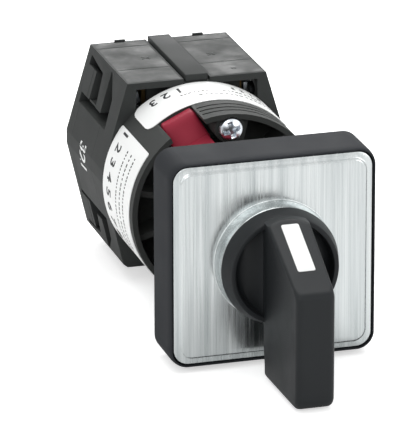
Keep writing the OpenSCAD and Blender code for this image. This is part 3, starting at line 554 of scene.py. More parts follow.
def curved_patch(radius: float, thickness: float, angles: Pair, ys: Pair, columns: int,
                 corner_r: float = 0.0) -> np.ndarray:
    """A thin sheet wrapped on a cylinder about the Y axis, with rounded ends.

    A place s along the arc and y along the axis goes to radius times the cosine and sine of s
    over the radius. Near an end the edge runs in by the corner's radius c less the root of c
    squared less the square of c less the distance from the end.

    Args:
        radius: Radius of the sheet's underside.
        thickness: Thickness of the sheet.
        angles: First and last angle in degrees.
        ys: First and last y.
        columns: Sections along the arc, closer together at both ends.
        corner_r: Radius of the corners.

    Returns:
        Sections of shape (columns, points, 3) for a loft.
    """
    across, crowding = 5, 0.6
    even = np.linspace(0, 1, columns)
    share = crowding * (1 - np.cos(np.pi * even)) / 2 + (1 - crowding) * even
    angle = np.radians(angles[0] + (angles[1] - angles[0]) * share)
    length = radius * math.radians(angles[1] - angles[0])
    near = np.clip(corner_r - np.minimum(share, 1 - share) * length, 0, corner_r)
    inset = corner_r - np.sqrt(corner_r ** 2 - near ** 2)
    low, high = ys[0] + inset, ys[1] - inset
    y_out = low[:, None] + (high - low)[:, None] * np.linspace(0, 1, across)
    y = np.concatenate([y_out, y_out[:, ::-1]], axis=1)
    r = np.concatenate([np.full(across, radius + thickness), np.full(across, radius)])[None, :]
    return polar(r, angle[:, None], y)


class Form:
    """Gathers grids of points in millimetres and makes one mesh of them."""

    def __init__(self) -> None:
        """Starts empty."""
        self._points: list[np.ndarray] = []
        self._corners: list[np.ndarray] = []
        self._sizes: list[np.ndarray] = []
        self._tags: list[np.ndarray] = []
        self._count = 0

    def solid(self, points: np.ndarray, corners: np.ndarray, sizes: np.ndarray,
              tag: int = 0) -> "Form":
        """Adds points and the faces between them.

        Args:
            points: Points of shape (n, 3).
            corners: The faces' point numbers, one face after the other.
            sizes: How many corners each face has.
            tag: Number of the faces' material.

        Returns:
            This form.
        """
        self._points.append(points)
        self._corners.append(corners + self._count)
        self._sizes.append(sizes)
        self._tags.append(np.full(len(sizes), tag, np.int32))
        self._count += len(points)
        return self

    def grid(self, points: np.ndarray, close_rows: bool = False, tag: int = 0) -> "Form":
        """Adds the quads between neighbouring points of a grid whose columns close on themselves.

        Args:
            points: Points of shape (rows, columns, 3).
            close_rows: Joins the last row to the first.
            tag: Number of the faces' material.

        Returns:
            This form.
        """
        rows, columns = points.shape[:2]
        ids = np.arange(rows * columns).reshape(rows, columns)
        if close_rows:
            ids = np.concatenate([ids, ids[:1]], axis=0)
        ids = np.concatenate([ids, ids[:, :1]], axis=1)
        quads = np.stack([ids[:-1, :-1], ids[:-1, 1:], ids[1:, 1:], ids[1:, :-1]], axis=-1)
        return self.solid(points.reshape(-1, 3), quads.ravel(), np.full(quads.size // 4, 4), tag)

    def loft(self, sections: np.ndarray, tag: int = 0) -> "Form":
        """Adds a skin over closed sections, with both ends drawn to their middles.

        Args:
            sections: Sections of shape (n, points, 3).
            tag: Number of the faces' material.

        Returns:
            This form.
        """
        first, last = (np.broadcast_to(end.mean(axis=0), end.shape)[None]
                       for end in (sections[0], sections[-1]))
        return self.grid(np.concatenate([first, sections, last]), tag=tag)

    def build(self, name: str, *finishes: Finish, sharp: float = 32.0) -> Object:
        """Makes the object, in metres, with doubles merged and faces turned outwards.

        Args:
            name: The piece's name.
            finishes: Materials in the order of the faces' tags.
            sharp: Angle in degrees past which an edge stays crisp.

        Returns:
            The new object, linked to the scene.
        """
        mesh = bpy.data.meshes.new(name)
        points, corners, sizes, tags = (np.concatenate(part) for part in (
            self._points, self._corners, self._sizes, self._tags))
        faces = np.split(corners, np.cumsum(sizes)[:-1])
        mesh.from_pydata((points * MM).tolist(), [], [face.tolist() for face in faces])
        mesh.polygons.foreach_set("material_index", tags)
        tidy_mesh(mesh, sharp)
        return place(name, mesh, finishes)


def tidy_mesh(mesh: Mesh, sharp: float, flatten: float = 0.0) -> None:
    """Merges doubles, turns the faces outwards and shades them smooth up to an angle.

    Args:
        mesh: The mesh to change.
        sharp: Angle in degrees past which an edge stays crisp.
        flatten: Angle in degrees below which neighbouring faces are joined into one, or 0.
    """
    same_place = 1e-7
    work = bmesh.new()
    work.from_mesh(mesh)
    bmesh.ops.remove_doubles(work, verts=work.verts, dist=same_place)
    bmesh.ops.dissolve_degenerate(work, edges=work.edges, dist=same_place)
    if flatten:
        bmesh.ops.dissolve_limit(work, angle_limit=math.radians(flatten), verts=work.verts,
                                 edges=work.edges)
    bmesh.ops.recalc_face_normals(work, faces=work.faces)
    work.to_mesh(mesh)
    work.free()
    mesh.polygons.foreach_set("use_smooth", np.ones(len(mesh.polygons), bool))
    mesh.set_sharp_from_angle(angle=math.radians(sharp))


def put(name: str, data: bpy.types.ID) -> Object:
    """Puts a new object with that data into the scene, at the origin.

    Args:
        name: The object's name.
        data: Its mesh, curve, lamp or camera.

    Returns:
        The object.
    """
    thing = bpy.data.objects.new(name, data)
    bpy.context.scene.collection.objects.link(thing)
    return thing


def place(name: str, mesh: Mesh, finishes: Iterable[Finish]) -> Object:
    """Puts a mesh into the scene as an object at the origin, with its materials.

    Args:
        name: The piece's name.
        mesh: Its mesh.
        finishes: Its materials in order.

    Returns:
        The object.
    """
    mesh.materials.clear()
    for kind in finishes:
        mesh.materials.append(finish_of(kind))
    return put(name, mesh)


def settle(piece: Object, slot: Slot, *nodes: str, body: Body = Body.FIXED) -> None:
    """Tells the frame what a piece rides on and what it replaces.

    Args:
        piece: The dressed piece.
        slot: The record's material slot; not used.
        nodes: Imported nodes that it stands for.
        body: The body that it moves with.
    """
    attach(piece, body.value)
    if nodes:
        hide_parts(*nodes)
    LOG.info("%s rides on %s and stands for %s", piece.name, body.value,
             ", ".join(nodes) or "nothing")


def soften(node: str, name: str, kind: Finish, slot: Slot, edge: float, segments: int,
           corner: float) -> None:
    """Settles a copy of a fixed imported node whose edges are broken, as by a mould or a press.

    Args:
        node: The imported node.
        name: The piece's name.
        kind: Its finish.
        slot: The record's material slot.
        edge: Width of the broken edges.
        segments: Rows of faces across an edge.
        corner: Angle in degrees from which an edge is broken.
    """
    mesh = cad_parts[node].data.copy()
    mesh.name = name
    tidy_mesh(mesh, corner, flatten=0.4)
    mesh.polygons.foreach_set("material_index", np.zeros(len(mesh.polygons), np.int32))
    piece = place(name, mesh, [kind])
    bevel = piece.modifiers.new("broken_edges", "BEVEL")
    bevel.width = edge * MM
    bevel.segments = segments
    bevel.limit_method = "ANGLE"
    bevel.angle_limit = math.radians(corner)
    bevel.harden_normals = True
    bevel.miter_outer = "MITER_ARC"
    settle(piece, slot, node)


def joined(base: Object, *others: Object) -> Object:
    """Unites closed pieces into the first one.

    Args:
        base: The piece that stays.
        others: The pieces that join it, which are then removed.

    Returns:
        The first piece, with the united mesh.
    """
    for other in others:
        union = base.modifiers.new("union", "BOOLEAN")
        union.operation, union.solver, union.object = "UNION", "EXACT", other
    graph = bpy.context.evaluated_depsgraph_get()
    old, base.data = base.data, bpy.data.meshes.new_from_object(base.evaluated_get(graph))
    base.modifiers.clear()
    base.data.name = base.name
    bpy.data.meshes.remove(old)
    for other in others:
        bpy.data.objects.remove(other)
    return base


# Sub-assemblies


@dataclass
class FrontFrame:
    """The square bezel and the brushed plate that lies in it."""

    width: float = 45.0
    depth: float = 12.0
    corner_r: float = 4.0
    wall: float = 1.8
    rim: float = 0.6
    edge_in: float = 0.46
    edge_back: float = 2.4
    pocket_y: float = -10.1
    inner_y: float = -7.6
    hole_r: float = 5.5
    tube_r: float = 15.2
    tube_wall: float = 1.8
    gasket_t: float = 1.5
    rib_t: float = 1.2
    rib_at: float = 9.7
    plate_w: float = 43.4
    plate_corner_r: float = 3.4
    plate_front: float = -11.7
    centre_front: float = -12.1
    centre_w: float = 40.4
    centre_corner_r: float = 2.65
    slope_w: float = 0.8
    ring_r: float = 12.9
    ring_wall: float = 0.8
    ring_front: float = -16.0
    rim_depth: float = 3.0
    flare_r: float = 0.2

    def build(self) -> None:
        """Builds and settles both pieces."""
        settle(self.bezel(), Slot.BEZEL, "bezel")
        settle(self.plate(), Slot.PLATE, "legend_plate")

    def bezel(self) -> Object:
        """The bezel: a closed profile carried round a rounded square, with a tube and ribs inside.

        Along the front edge the corners' radius falls by a share of the way in.

        Returns:
            The piece.
        """
        front, back, out_r = -self.depth, -self.gasket_t, self.tube_r + self.tube_wall
        cut, lead, sunk, fall = 0.15, 0.2, 0.3, 0.8
        rim_corner_r, inner_r = self.corner_r - 0.5, self.corner_r - self.wall
        hole, cavity = 2 * self.hole_r, self.width - 2 * self.wall
        edge = arc((self.edge_in, front + self.edge_back), (self.edge_in, self.edge_back),
                   180, 270, 9)
        profile = [(cut, self.corner_r, 0.0), (0.0, self.corner_r, -cut)]
        profile += [(x, self.corner_r - x * fall, y) for x, y in edge]
        profile += [(self.rim - 0.05, rim_corner_r, front), (self.rim, rim_corner_r, front + 0.06),
                    (self.rim, rim_corner_r, self.pocket_y)]
        sizes = [(self.width - 2 * inset, r, y) for inset, r, y in profile]
        sizes += [(hole, self.hole_r, self.pocket_y), (hole, self.hole_r, self.inner_y),
                  (cavity, inner_r, self.inner_y), (cavity, inner_r, -cut),
                  (cavity + 2 * cut, inner_r + cut, 0.0)]
        form = Form().grid(np.array([rounded_square(*size) for size in sizes]), close_rows=True)
        root = self.inner_y - sunk
        form.grid(turned([(self.tube_r, root), (out_r, root), (out_r, back - lead),
                          (out_r - lead, back), (self.tube_r + lead, back),
                          (self.tube_r, back - lead)]), close_rows=True)
        into_tube = 0.4
        start = math.sqrt(out_r ** 2 - self.rib_at ** 2) - into_tube
        for turn, middle in product((0, 90, 180, 270), (-self.rib_at, self.rib_at)):
            bar = rounded_box((start, root, middle - self.rib_t / 2),
                              (cavity / 2 + sunk, back, middle + self.rib_t / 2), 0.15)
            form.loft(about_axis(bar, turn))
        return form.build("bezel_moulding", BEZEL_PLASTIC, sharp=40)

    def plate(self) -> Object:
        """The plate: a loft from rounded squares to circles, which ends in the ring's lip.

        The centre rises along half a cosine wave. The ring grows out of the flat by a quarter
        circle of radius flare_r, and is drawn in to its rim by a quarter ellipse that is
        rim_depth long.

        Returns:
            The piece.
        """
        under, step, lip = self.pocket_y + 0.02, self.slope_w, 0.1
        lip_in = self.ring_r - self.ring_wall
        rim_r = lip_in + 0.14
        sizes = [(self.plate_w, self.plate_corner_r, under)]
        for inset, drop in ((0.0, 0.25), (0.08, 0.08), (0.25, 0.0)):
            sizes.append((self.plate_w - 2 * inset, self.plate_corner_r - inset,
                          self.plate_front + drop))
        foot = len(sizes)
        for share in np.linspace(0, 1, 7):
            rise = (self.centre_front - self.plate_front) * (1 - math.cos(math.pi * share)) / 2
            out = step / 2 - step * share
            sizes.append((self.centre_w + 2 * out, self.centre_corner_r + out,
                          self.plate_front + rise))
        head = len(sizes) - 1
        sizes.append((self.centre_w - 3 * step, 1.6, self.centre_front))
        circles = arc((self.ring_r + self.flare_r, self.centre_front - self.flare_r),
                      (self.flare_r, self.flare_r), 90, 180, 10)
        circles += arc((rim_r, self.ring_front + self.rim_depth),
                       (self.ring_r - rim_r, self.rim_depth), 360, 270, 14)
        circles += [(lip_in + lip, self.ring_front), (lip_in, self.ring_front + lip),
                    (lip_in, under)]
        flat = [rounded_square(*size) for size in sizes]
        ring = [rounded_square(2 * r, r, y) for r, y in circles]
        form = Form()
        # Tag 1, the raised centre's bevel and the ring, takes the near-white metal whose colour
        # paints their highlight
        for rows, tag in ((flat[:foot + 1], 2), (flat[foot:head + 1], 1),
                          (flat[head:] + ring[:1], 0), (ring, 1), ([ring[-1], flat[0]], 0)):
            form.grid(np.array(rows), tag=tag)
        return form.build("brushed_plate_sheet", BRUSHED_PLATE, BRIGHT_RING, PLATE_BORDER, sharp=50)


@dataclass
class Grip:
    """The turning handle: a shallow cup with a long grip across it and a white pointer."""

    hub_r: float = 11.8
    hub_back: float = -12.5
    disc_r: float = 12.7
    disc_back: float = -16.25
    disc_front: float = -16.7
    skirt_front: float = -20.3
    skirt_front_r: float = 11.7
    skirt_wall: float = 1.1
    floor_y: float = -17.0
    floor_fillet: float = 1.6
    tail_back: float = -19.4
    slope_back: float = -20.9
    top: float = 12.2
    front: float = -41.4
    slope_foot: float = 2.0
    tail: float = -23.0
    tail_corner_r: float = 2.5
    foot_corner_r: float = 1.8
    flank_middle: Pair = (-30.4, -10.91)
    back_w: float = 9.1
    front_w: float = 8.3
    edge_r: float = 0.55
    front_edge_r: float = 1.2
    tail_edge_r: float = 1.3
    top_r: float = 11.9
    core_r: float = 10.8
    core_flare: float = 3.9
    pointer_w: float = 3.8
    pointer_l: float = 13.5
    pointer_corner_r: float = 0.45
    pointer_set: float = 2.2
    pointer_t: float = 0.8
    pointer_proud: float = 0.1
    crisp: float = 34.0

    def build(self) -> None:
        """Builds and settles the handle and its pointer."""
        handle = joined(self.cup(), self.core(), self.bar())
        tidy_mesh(handle.data, self.crisp)
        settle(handle, Slot.HANDLE, "handle", body=Body.OPERATOR)
        settle(self.pointer(), Slot.WHITE, "pointer_insert", body=Body.OPERATOR)

    def cup(self) -> Object:
        """The hub, disc and skirt, turned about the axis, with a scooped floor.

        Returns:
            The piece.
        """
        hub_cut, disc_cut, out_lip, in_lip, fillet = 0.2, 0.1, 0.3, 0.2, self.floor_fillet
        in_r = self.skirt_front_r - self.skirt_wall
        floor_r = in_r - 0.25
        profile = [(0, self.hub_back), (self.hub_r - hub_cut, self.hub_back),
                   (self.hub_r, self.hub_back - hub_cut), (self.hub_r, self.disc_back),
                   (self.disc_r - disc_cut, self.disc_back),
                   (self.disc_r, self.disc_back - disc_cut), (self.disc_r, self.disc_front)]
        for r, x, y, start, end, steps in (
                (out_lip, self.skirt_front_r - out_lip, self.skirt_front + out_lip, 345, 270, 4),
                (in_lip, in_r + in_lip, self.skirt_front + in_lip, 270, 180, 3),
                (fillet, floor_r - fillet, self.floor_y - fillet, 0, 90, 6)):
            profile += arc((x, y), (r, r), start, end, steps)
        profile += [(floor_r - 2 * fillet, self.floor_y), (0, self.floor_y)]
        return Form().grid(turned(profile, 160)).build("grip_handle", HANDLE_PLASTIC,
                                                       sharp=self.crisp)

    def half_width(self, y: np.ndarray) -> np.ndarray:
        """Half the grip's width at y, a straight taper from its back to its front."""
        share = (y - self.tail_back) / (self.front - self.tail_back)
        return (self.back_w + (self.front_w - self.back_w) * share) / 2

    def core(self) -> Object:
        """The grip's root, whose sides run out into the cup's floor in a scoop.

        Half the width is the grip's, plus the flare times one less the root of one less the
        share of the way down to the floor. Each section is a circle cut off at that half width.

        Returns:
            The piece.
        """
        drop, below, above, inside = self.floor_y - self.tail_back, 0.3, 1.1, 0.03
        ys = np.concatenate([[self.floor_y + below],
                             self.floor_y - drop * np.linspace(0, 1, 17) ** 1.5,
                             [self.tail_back - above]])
        share = np.clip((ys - self.tail_back) / drop, 0, 1)
        half = self.half_width(ys) - inside + self.core_flare * (1 - np.sqrt(1 - share))
        points = polar(self.core_r, around(144), ys[:, None])
        points[..., 0] = np.clip(points[..., 0], -half[:, None], half[:, None])
        return Form().loft(points).build("grip_core", HANDLE_PLASTIC)

    def bar(self) -> Object:
        """The grip: its side outline carried across from flank to flank, with rounded edges.

        Across an edge the outline is drawn in by the edge's radius times one less the sine of a
        turn from 0 to 90 degrees, and the width by the radius times one less its cosine. Each
        flank closes on its middle. The top end keeps within a circle about the axis.

        Returns:
            The piece.
        """
        outline = self._spread(rounded_outline([
            (self.tail_back, self.top, 0.6), (self.slope_back, self.top, 0.3),
            (self.front, self.slope_foot, self.foot_corner_r),
            (self.front, self.tail, self.tail_corner_r), (self.tail_back, self.tail, 1.4)], 7), 0.5)
        normal = outline_normals(outline)
        forward, down = -outline.T
        edge = self.edge_r + (self.front_edge_r - self.edge_r) * smooth_step(forward, 39.0, 41.2)
        edge += (self.tail_edge_r - edge) * smooth_step(down, 15.0, 21.0)
        middle = np.array(self.flank_middle)
        flank = outline - edge[:, None] * normal
        right = [self._row(middle + (flank - middle) * share, 1.0, 0 * edge)
                 for share in (0.0, 0.35, 0.7)]
        right += [self._row(outline - (edge * (1 - math.sin(turn)))[:, None] * normal, 1.0,
                            edge * (1 - math.cos(turn))) for turn in np.linspace(0, QUARTER, 6)]
        between = [self._row(outline, side, edge) for side in np.linspace(1, -1, 13)[1:-1]]
        left = np.array(right[::-1]) * np.array([-1, 1, 1])
        points = np.concatenate([right, between, left])
        points[..., 2] = np.minimum(points[..., 2], np.sqrt(self.top_r ** 2 - points[..., 0] ** 2))
        return Form().grid(points).build("grip_bar", HANDLE_PLASTIC)

    def _row(self, outline: np.ndarray, side: float, step: np.ndarray) -> np.ndarray:
        """One row of the grip: the outline in Y and Z, at the grip's half width less step."""
        y, z = outline.T
        return xyz(side * (self.half_width(y) - step), y, z)

    def _spread(self, outline: np.ndarray, pitch: float) -> np.ndarray:
        """Adds even points on an outline's straight runs.

        Args:
            outline: Points of shape (n, 2), in order round it.
            pitch: About how far apart the points on a run are.

        Returns:
            The outline with the added points.
        """
        parts = []
        for here, after in zip(outline, np.roll(outline, -1, axis=0)):
            spans = max(1, int(np.linalg.norm(after - here) / pitch))
            parts.append(here + (after - here) * (np.arange(spans) / spans)[:, None])
        return np.concatenate(parts)

    def pointer(self) -> Object:
        """The white bar let into the slope: a rounded box turned to the slope's angle.

        Returns:
            The piece.
        """
        slope = math.atan2(self.top - self.slope_foot, self.slope_back - self.front)
        half, r, proud = self.pointer_w / 2, self.pointer_corner_r, self.pointer_proud
        upper, lower = -self.pointer_set, -self.pointer_set - self.pointer_l
        outline = rounded_outline([(-half, lower, r), (half, lower, r), (half, upper, r),
                                   (-half, upper, r)], 5)
        middle, halves = outline.mean(axis=0), np.array([half, self.pointer_l / 2])
        sections = []
        for height, inset in ((proud - self.pointer_t, 0.0), (proud - 0.09, 0.0),
                              (proud - 0.03, 0.03), (proud, 0.1)):
            at = middle + (outline - middle) * (1 - inset / halves)
            y, z = rotated(at[:, 1], height, slope)
            sections.append(xyz(at[:, 0], y + self.slope_back, z + self.top))
        return Form().loft(np.array(sections)).build("pointer_bar", WHITE_PLASTIC)


@dataclass
class Neck:
    """The threaded neck behind the bezel, with its nut, washer and gasket."""

    bore_r: float = 5.05
    flange_r: float = 15.0
    front: float = -7.55
    flange_back: float = -5.15
    radius: float = 10.9
    thread_depth: float = 0.55
    thread_pitch: float = 1.5
    thread_from: float = -4.6
    thread_to: float = 16.8
    groove_from: float = 17.4
    groove_to: float = 20.0
    groove_depth: float = 1.0
    back: float = 29.8
    tube_bore_r: float = 8.5
    land_back: float = 20.0
    gasket_rs: Pair = (15.2, 18.25)
    gasket_t: float = 1.5
    gasket_lip_r: float = 0.35

    def build(self) -> None:
        """Builds and settles the neck and what sits on it."""
        settle(self.neck(), Slot.BEZEL, "mounting_neck")
        soften("ring_nut", "ring_nut_moulding", NECK_PLASTIC, Slot.BEZEL, 0.45, 3, 50)
        settle(self.gasket(), Slot.RUBBER, "panel_gasket")
        soften("lock_washer", "lock_washer_stamping", ZINC_STEEL, Slot.ZINC, 0.12, 2, 50)

    def neck(self) -> Object:
        """The neck, with a helical thread and a key on top.

        The radius is the crest's less the depth times a triangle wave of y over the pitch less
        the angle over a full turn. The wave's ends are cut off flat, and it fades out over a
        pitch at each end of the thread.

        Returns:
            The piece.
        """
        steps, cut = 120, 0.2
        ys = np.arange(self.thread_from, self.thread_to + 0.01, self.thread_pitch / 8)
        phase = (ys[:, None] / self.thread_pitch - around(steps) / (2 * np.pi)) % 1.0
        wave = np.clip((1 - np.abs(2 * phase - 1)) * 1.25 - 0.12, 0, 1)
        fade = (smooth_step(ys, self.thread_from, self.thread_from + self.thread_pitch)
                * (1 - smooth_step(ys, self.thread_to - self.thread_pitch, self.thread_to)))
        r = self.radius - self.thread_depth * wave * fade[:, None]
        thread = polar(r, around(steps), ys[:, None])
        low = self.radius - self.groove_depth
        head = turned([(self.bore_r, self.front), (self.flange_r - cut, self.front),
                       (self.flange_r, self.front + cut), (self.flange_r, self.flange_back - cut),
                       (self.flange_r - cut, self.flange_back), (self.radius, self.flange_back)],
                      steps)
        tail = turned([(self.radius, self.groove_from), (low, self.groove_from),
                       (low, self.groove_to), (self.radius, self.groove_to),
                       (self.radius, self.back), (self.tube_bore_r, self.back),
                       (self.tube_bore_r, self.land_back), (self.bore_r, self.land_back)], steps)
        form = Form().grid(np.concatenate([head, thread, tail]), close_rows=True)
        form.loft(rounded_box((-1.5, -1.5, self.radius - 1.2), (1.5, 1.76, self.radius + 1.2), 0.2))
        return form.build("threaded_neck", NECK_PLASTIC, sharp=50)

    def gasket(self) -> Object:
        """The panel gasket: a flat ring with rounded lips.

        Returns:
            The piece.
        """
        lip, profile = self.gasket_lip_r, []
        low, high = self.gasket_rs[0] + lip, self.gasket_rs[1] - lip
        front, back = lip - self.gasket_t, -lip
        for start, centre in ((90, (low, back)), (180, (low, front)), (270, (high, front)),
                              (0, (high, back))):
            profile += arc(centre, (lip, lip), start, start + 90, 4)
        return Form().grid(turned(profile, 96), close_rows=True).build("gasket_ring", SEAL_RUBBER)


@dataclass
class ScrewHead:
    """A pan or cheese head with its drive pressed in, and its shank."""

    radius: float
    height: float
    shank_r: float
    shank_l: float
    recess: Recess
    dome: float
    recess_depth: float
    turn: float = 15.0

    def sections(self) -> np.ndarray:
        """Rows of points round the screw's own axis, from the head's middle to the shank's end.

        A point of the head's face is at radius r and angle a, its height falls by the dome times
        the square of r over the radius, and the drive takes off its depth times how far the
        point lies inside the drive's edge.

        Returns:
            Points of shape (rows, steps, 3): the two across the axis, then the height towards
            the face.
        """
        steps, face_share, bevel = 96, 0.9, 0.3
        r = np.linspace(0, self.radius * face_share, 30)[:, None]
        u, v = r * np.cos(around(steps)), r * np.sin(around(steps))
        a, b = np.abs(rotated(u, v, -math.radians(self.turn)))
        if self.recess is Recess.CROSS:
            arm, reach, waist = (self.radius * share for share in (0.19, 0.68, 0.42))
            away = np.minimum(np.maximum(a / arm, b / reach), np.maximum(b / arm, a / reach))
            away = np.minimum(away, (a + b) / waist)
        else:
            half_slot = self.radius * 0.16
            away = a / half_slot
        sink = self.recess_depth * np.clip((1.1 - away) / 0.35, 0, 1)
        face = xyz(u, v, self.height - self.dome * (r / self.radius) ** 2 - sink)
        edge = self.height - self.dome * face_share ** 2
        rim = [(self.radius * 0.965, edge - 0.1), (self.radius, edge - 0.32), (self.radius, 0.12),
               (self.radius - 0.12, 0.0), (self.shank_r, 0.0), (self.shank_r, bevel - self.shank_l),
               (self.shank_r - bevel, -self.shank_l), (0, -self.shank_l)]
        return np.concatenate([face, turned(rim, steps)[..., [0, 2, 1]]])

    def along_y(self, centre: Triple) -> np.ndarray:
        """The screw with its face towards -Y and its seat at centre."""
        u, v, height = np.moveaxis(self.sections(), -1, 0)
        return xyz(u, -height, v) + np.array(centre)

    def along_x(self, centre: Triple) -> np.ndarray:
        """The screw with its face away from the axis along X and its seat at centre."""
        u, v, height = np.moveaxis(self.sections(), -1, 0)
        return xyz(math.copysign(1.0, centre[0]) * height, u, v) + np.array(centre)


@dataclass
class Collar:
    """The mounting collar with its release latch, labels and long screws."""

    radius: float = 21.3
    label_t: float = 0.15
    label_back: float = 44.15
    upper_w: float = 13.0
    upper_angles: Pair = (38.0, 133.5)
    upper_corner_r: float = 2.6
    side_w: float = 20.8
    side_angles: Pair = (141.8, 235.0)
    side_corner_r: float = 0.5
    latch_front: float = 17.55
    latch_back: float = 19.85
    latch_r: float = 14.5
    latch_bore_r: float = 11.05
    latch_travel: float = 1.2
    lip_r: float = 10.2
    lip_half_angle: float = 25.0
    tab_angle: float = 115.5
    tab_root_r: float = 14.0
    arm_w: float = 7.6
    arm_rs: Pair = (14.65, 15.7)
    lug_rs: Pair = (14.65, 20.75)
    lug_half_ws: Pair = (4.25, 3.85)
    lug_fronts: Pair = (24.6, 28.3)
    lug_back: float = 29.85
    lug_head_r: float = 19.35
    lug_head_back: float = 31.0
    lug_bevel: float = 0.9
    tie_x: float = 0.745
    tie_z: float = 17.785
    tie_seat: float = 22.0
    tie_end: float = 74.5

    def build(self) -> None:
        """Builds and settles the collar's pieces."""
        soften("mounting_collar", "collar_moulding", HOUSING_PLASTIC, Slot.HOUSING, 0.22, 2, 40)
        settle(self.latch(), Slot.RED, "release_latch", body=Body.RELEASE)
        for node, width, angles, corner_r in (
                ("upper_label", self.upper_w, self.upper_angles, self.upper_corner_r),
                ("side_label", self.side_w, self.side_angles, self.side_corner_r)):
            ys = (self.label_back - width, self.label_back)
            patch = curved_patch(self.radius, self.label_t, angles, ys, 64, corner_r)
            settle(Form().loft(patch).build(node + "_film", LABEL_FILM), Slot.LABEL, node)
        screw = ScrewHead(2.5, 2.0, 1.5, self.tie_end - self.tie_seat, Recess.CROSS, dome=0.85,
                          recess_depth=1.1)
        form = Form()
        for side in (1, -1):
            form.grid(screw.along_y((side * self.tie_x, self.tie_seat, side * self.tie_z)))
        settle(form.build("tie_screw_pair", ZINC_STEEL, sharp=30), Slot.ZINC, "tie_screws")

    def latch(self) -> Object:
        """The ring that slides across the neck, with its lip and its steep tab.

        The opening's radius at an angle is the larger of two circles', one about the axis and
        one about a point a travel away: that travel times the cosine, plus the root of the
        radius squared less the square of the travel times the sine. Opposite the tab it is the
        lip's, whose ends fall between two of the points round the ring.

        Returns:
            The piece.
        """
        front, back, half = self.latch_front, self.latch_back, self.arm_w / 2
        lead, edge = 0.15, 0.3
        first = self.lip_half_angle - 179.9
        angle = np.radians(np.arange(first, first + 359, 2.5))
        moved = (self.latch_travel * np.cos(angle)
                 + np.sqrt(self.latch_bore_r ** 2 - (self.latch_travel * np.sin(angle)) ** 2))
        in_lip = np.cos(angle) < -math.cos(math.radians(self.lip_half_angle))
        bore = np.where(in_lip, self.lip_r, np.maximum(self.latch_bore_r, moved))
        rim = np.full_like(bore, self.latch_r)
        rows = [(bore, front + lead), (bore + lead, front), (rim - edge, front),
                (rim, front + edge), (rim, back - edge), (rim - edge, back), (bore + lead, back),
                (bore, back - lead)]
        ring = np.array([polar(r, angle, y) for r, y in rows])
        form = Form().grid(about_axis(ring, self.tab_angle), close_rows=True)
        root = rounded_box((self.tab_root_r, front + 1.2, -half), (self.arm_rs[1], back, half), 0.2)
        arm = rounded_box((self.arm_rs[0], back - 0.2, -half),
                          (self.arm_rs[1], self.lug_back - 0.3, half), 0.2)
        for part in (root, arm, self.tab()):
            form.loft(about_axis(part, self.tab_angle))
        return form.build("release_latch_moulding", RED_PLASTIC, sharp=24)

    def tab(self) -> np.ndarray:
        """Sections of the tab's lug from its root outwards, before it is turned to its place.

        Each is a rectangle along the axis and across it, whose front corners are cut by a bevel.
        Front, width and back follow the radius in straight lines, the back steps out over the
        collar's web, and the last sections draw in for the bevel round the crown.

        Returns:
            Sections of shape (n, points, 3) for a loft.
        """
        low, high = self.lug_rs
        head, cut, depth, edge = self.lug_head_r, self.lug_bevel, self.lug_bevel * 0.8, 0.2
        rs = np.array([low, low + edge, 17.0, head, head + 0.02, high - 0.75, high - 0.12, high])
        share = (rs - low) / (high - low)
        half = np.interp(share, [0, 1], self.lug_half_ws) - [edge, 0, 0, 0, 0, 0, 0.35, 0.5]
        front = np.interp(share, [0, 1], self.lug_fronts) + [0, 0, 0, 0, 0, 0, 0.25, 0.4]
        back = np.where(rs <= head, self.lug_back, self.lug_head_back)
        back -= [0, 0, 0, 0, 0, 0, 0.1, 0.25]
        sections = []
        for r, h, y0, y1 in zip(rs, half, front, back):
            rise = [y0 + depth, y0 + depth * 0.45, y0]
            across = [-h, -h + cut * 0.3, -h + cut]
            ys = rise + rise[::-1] + [y1 - edge, y1, y1, y1 - edge]
            zs = across + [-z for z in across[::-1]] + [h, h - edge, -h + edge, -h]
            sections.append(xyz(r, ys, zs))
        return np.array(sections)


